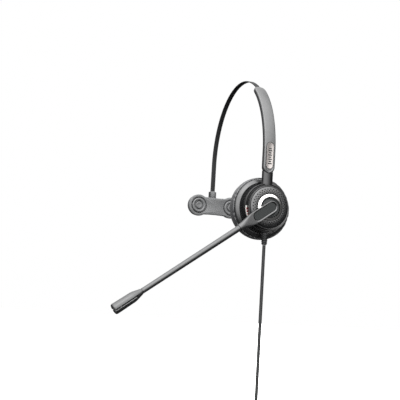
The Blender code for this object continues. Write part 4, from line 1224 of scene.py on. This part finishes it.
def build_tube():
    """Long tapering boom tube."""
    rings = []
    end = MIC_START - GAP
    for t in spread(TUBE_START, end, 60):
        share = (t - TUBE_START) / (end - TUBE_START)
        radius = TUBE_RADIUS - TUBE_TAPER * share
        rings.append([boom_point(t, radius * c, BOOM_X + radius * s)
                      for c, s in map(unit, spread(0, 360, 49)[:-1])])
    tube = mesh_object("boom_stalk", loft(rings))
    dress(tube, LOOK["satin"], "boom", "satin_plastic", "boom_tube", angle=60)


def mic_radius(t):
    """Outer radius of the microphone capsule at a distance from its start."""
    flare = 3.0 + 2.0 * smooth_step(t / 11.0) ** 0.8
    taper = 0.25 * (1 - smooth_step((t - 8.0) / 20.0))
    tip = 0.35 * smooth_step((t - MIC_LENGTH + 0.8) / 0.8)
    start = 0.35 * (1 - smooth_step(t / 1.5))
    return flare - taper - tip - start


def build_microphone():
    """Capsule: upper shell with the root cone, lower shell with a bright lip along the slot."""
    def half_ring(t, side, lift, lip):
        """One half of the capsule's wall, its edge set back from the middle."""
        radius = mic_radius(t)
        start = math.degrees(math.asin(min(0.9, lift / radius)))
        outer = arc((0, 0), radius, start, 180 - start, 24)
        core = radius - MIC_WALL
        inside = math.degrees(math.asin(min(0.9, (lift + lip) / core)))
        inner = arc((0, 0), core, 180 - inside, inside, 24)
        return [boom_point(MIC_START + t, side * up, BOOM_X + out) for out, up in outer + inner]

    stations = (spread(0, 12, 25) + spread(12.8, MIC_LENGTH - 0.8, 16)
                + spread(MIC_LENGTH - 0.6, MIC_LENGTH, 4))
    upper = mesh_object("mic_upper", loft([half_ring(t, 1, 0.15, 0.0) for t in stations]))
    dress(upper, LOOK["satin"], "boom", "matte_plastic", "mic_shell_upper", angle=35)
    slopes = [smooth_step((t - SLOT_START) / 1.5) for t in stations]
    lower = mesh_object("mic_lower", loft([
        half_ring(t, -1, 0.15 + 1.35 * slope, -0.95 * slope) for t, slope in zip(stations, slopes)]))
    dress(lower, LOOK["satin"], "boom", "matte_plastic", "mic_shell_lower", angle=35)


# ---------- CAD nodes that stay

KEPT = {
    "steel": ("housing_screw_1", "housing_screw_2", "detent_spring", "ratchet_tongue", "tongue_pin",
              "temple_bar_pin", "driver_basket", "pivot_clip", "hub_screw"),
    "bright": ("ball_stud", "driver_magnet", "mic_element"),
    "brass": ("plug_contact_1", "plug_contact_2", "plug_contact_3", "plug_contact_4"),
    "dark": ("yoke_cover", "ball_retainer", "baffle", "plug_insert"),
    "facing": ("ball_liner", "friction_washer"),
    "foam": ("ear_screen", "mic_screen"),
    "board": ("wiring_board",),
    "film": ("driver_diaphragm",),
}


def dress_kept_nodes():
    """Materials for the CAD nodes that are shown as they are."""
    for look, nodes in KEPT.items():
        for node in nodes:
            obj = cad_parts[node]
            obj.data.materials.clear()
            obj.data.materials.append(LOOK[look])


# ---------- assembly

build_camera()
build_floor()
build_light()
cord = build_cord()
cord_pieces = [build_tie(), build_relief()] + build_plug()
cord_pieces += ["plug_insert"] + [f"plug_contact_{k}" for k in (1, 2, 3, 4)]
build_band()
build_housing()
build_plate()
build_strip_end()
build_temple_bar()
build_yoke()
build_label()
build_shell()
build_cushion()
build_drum()
build_boom_arm()
build_tube()
build_microphone()
dress_kept_nodes()
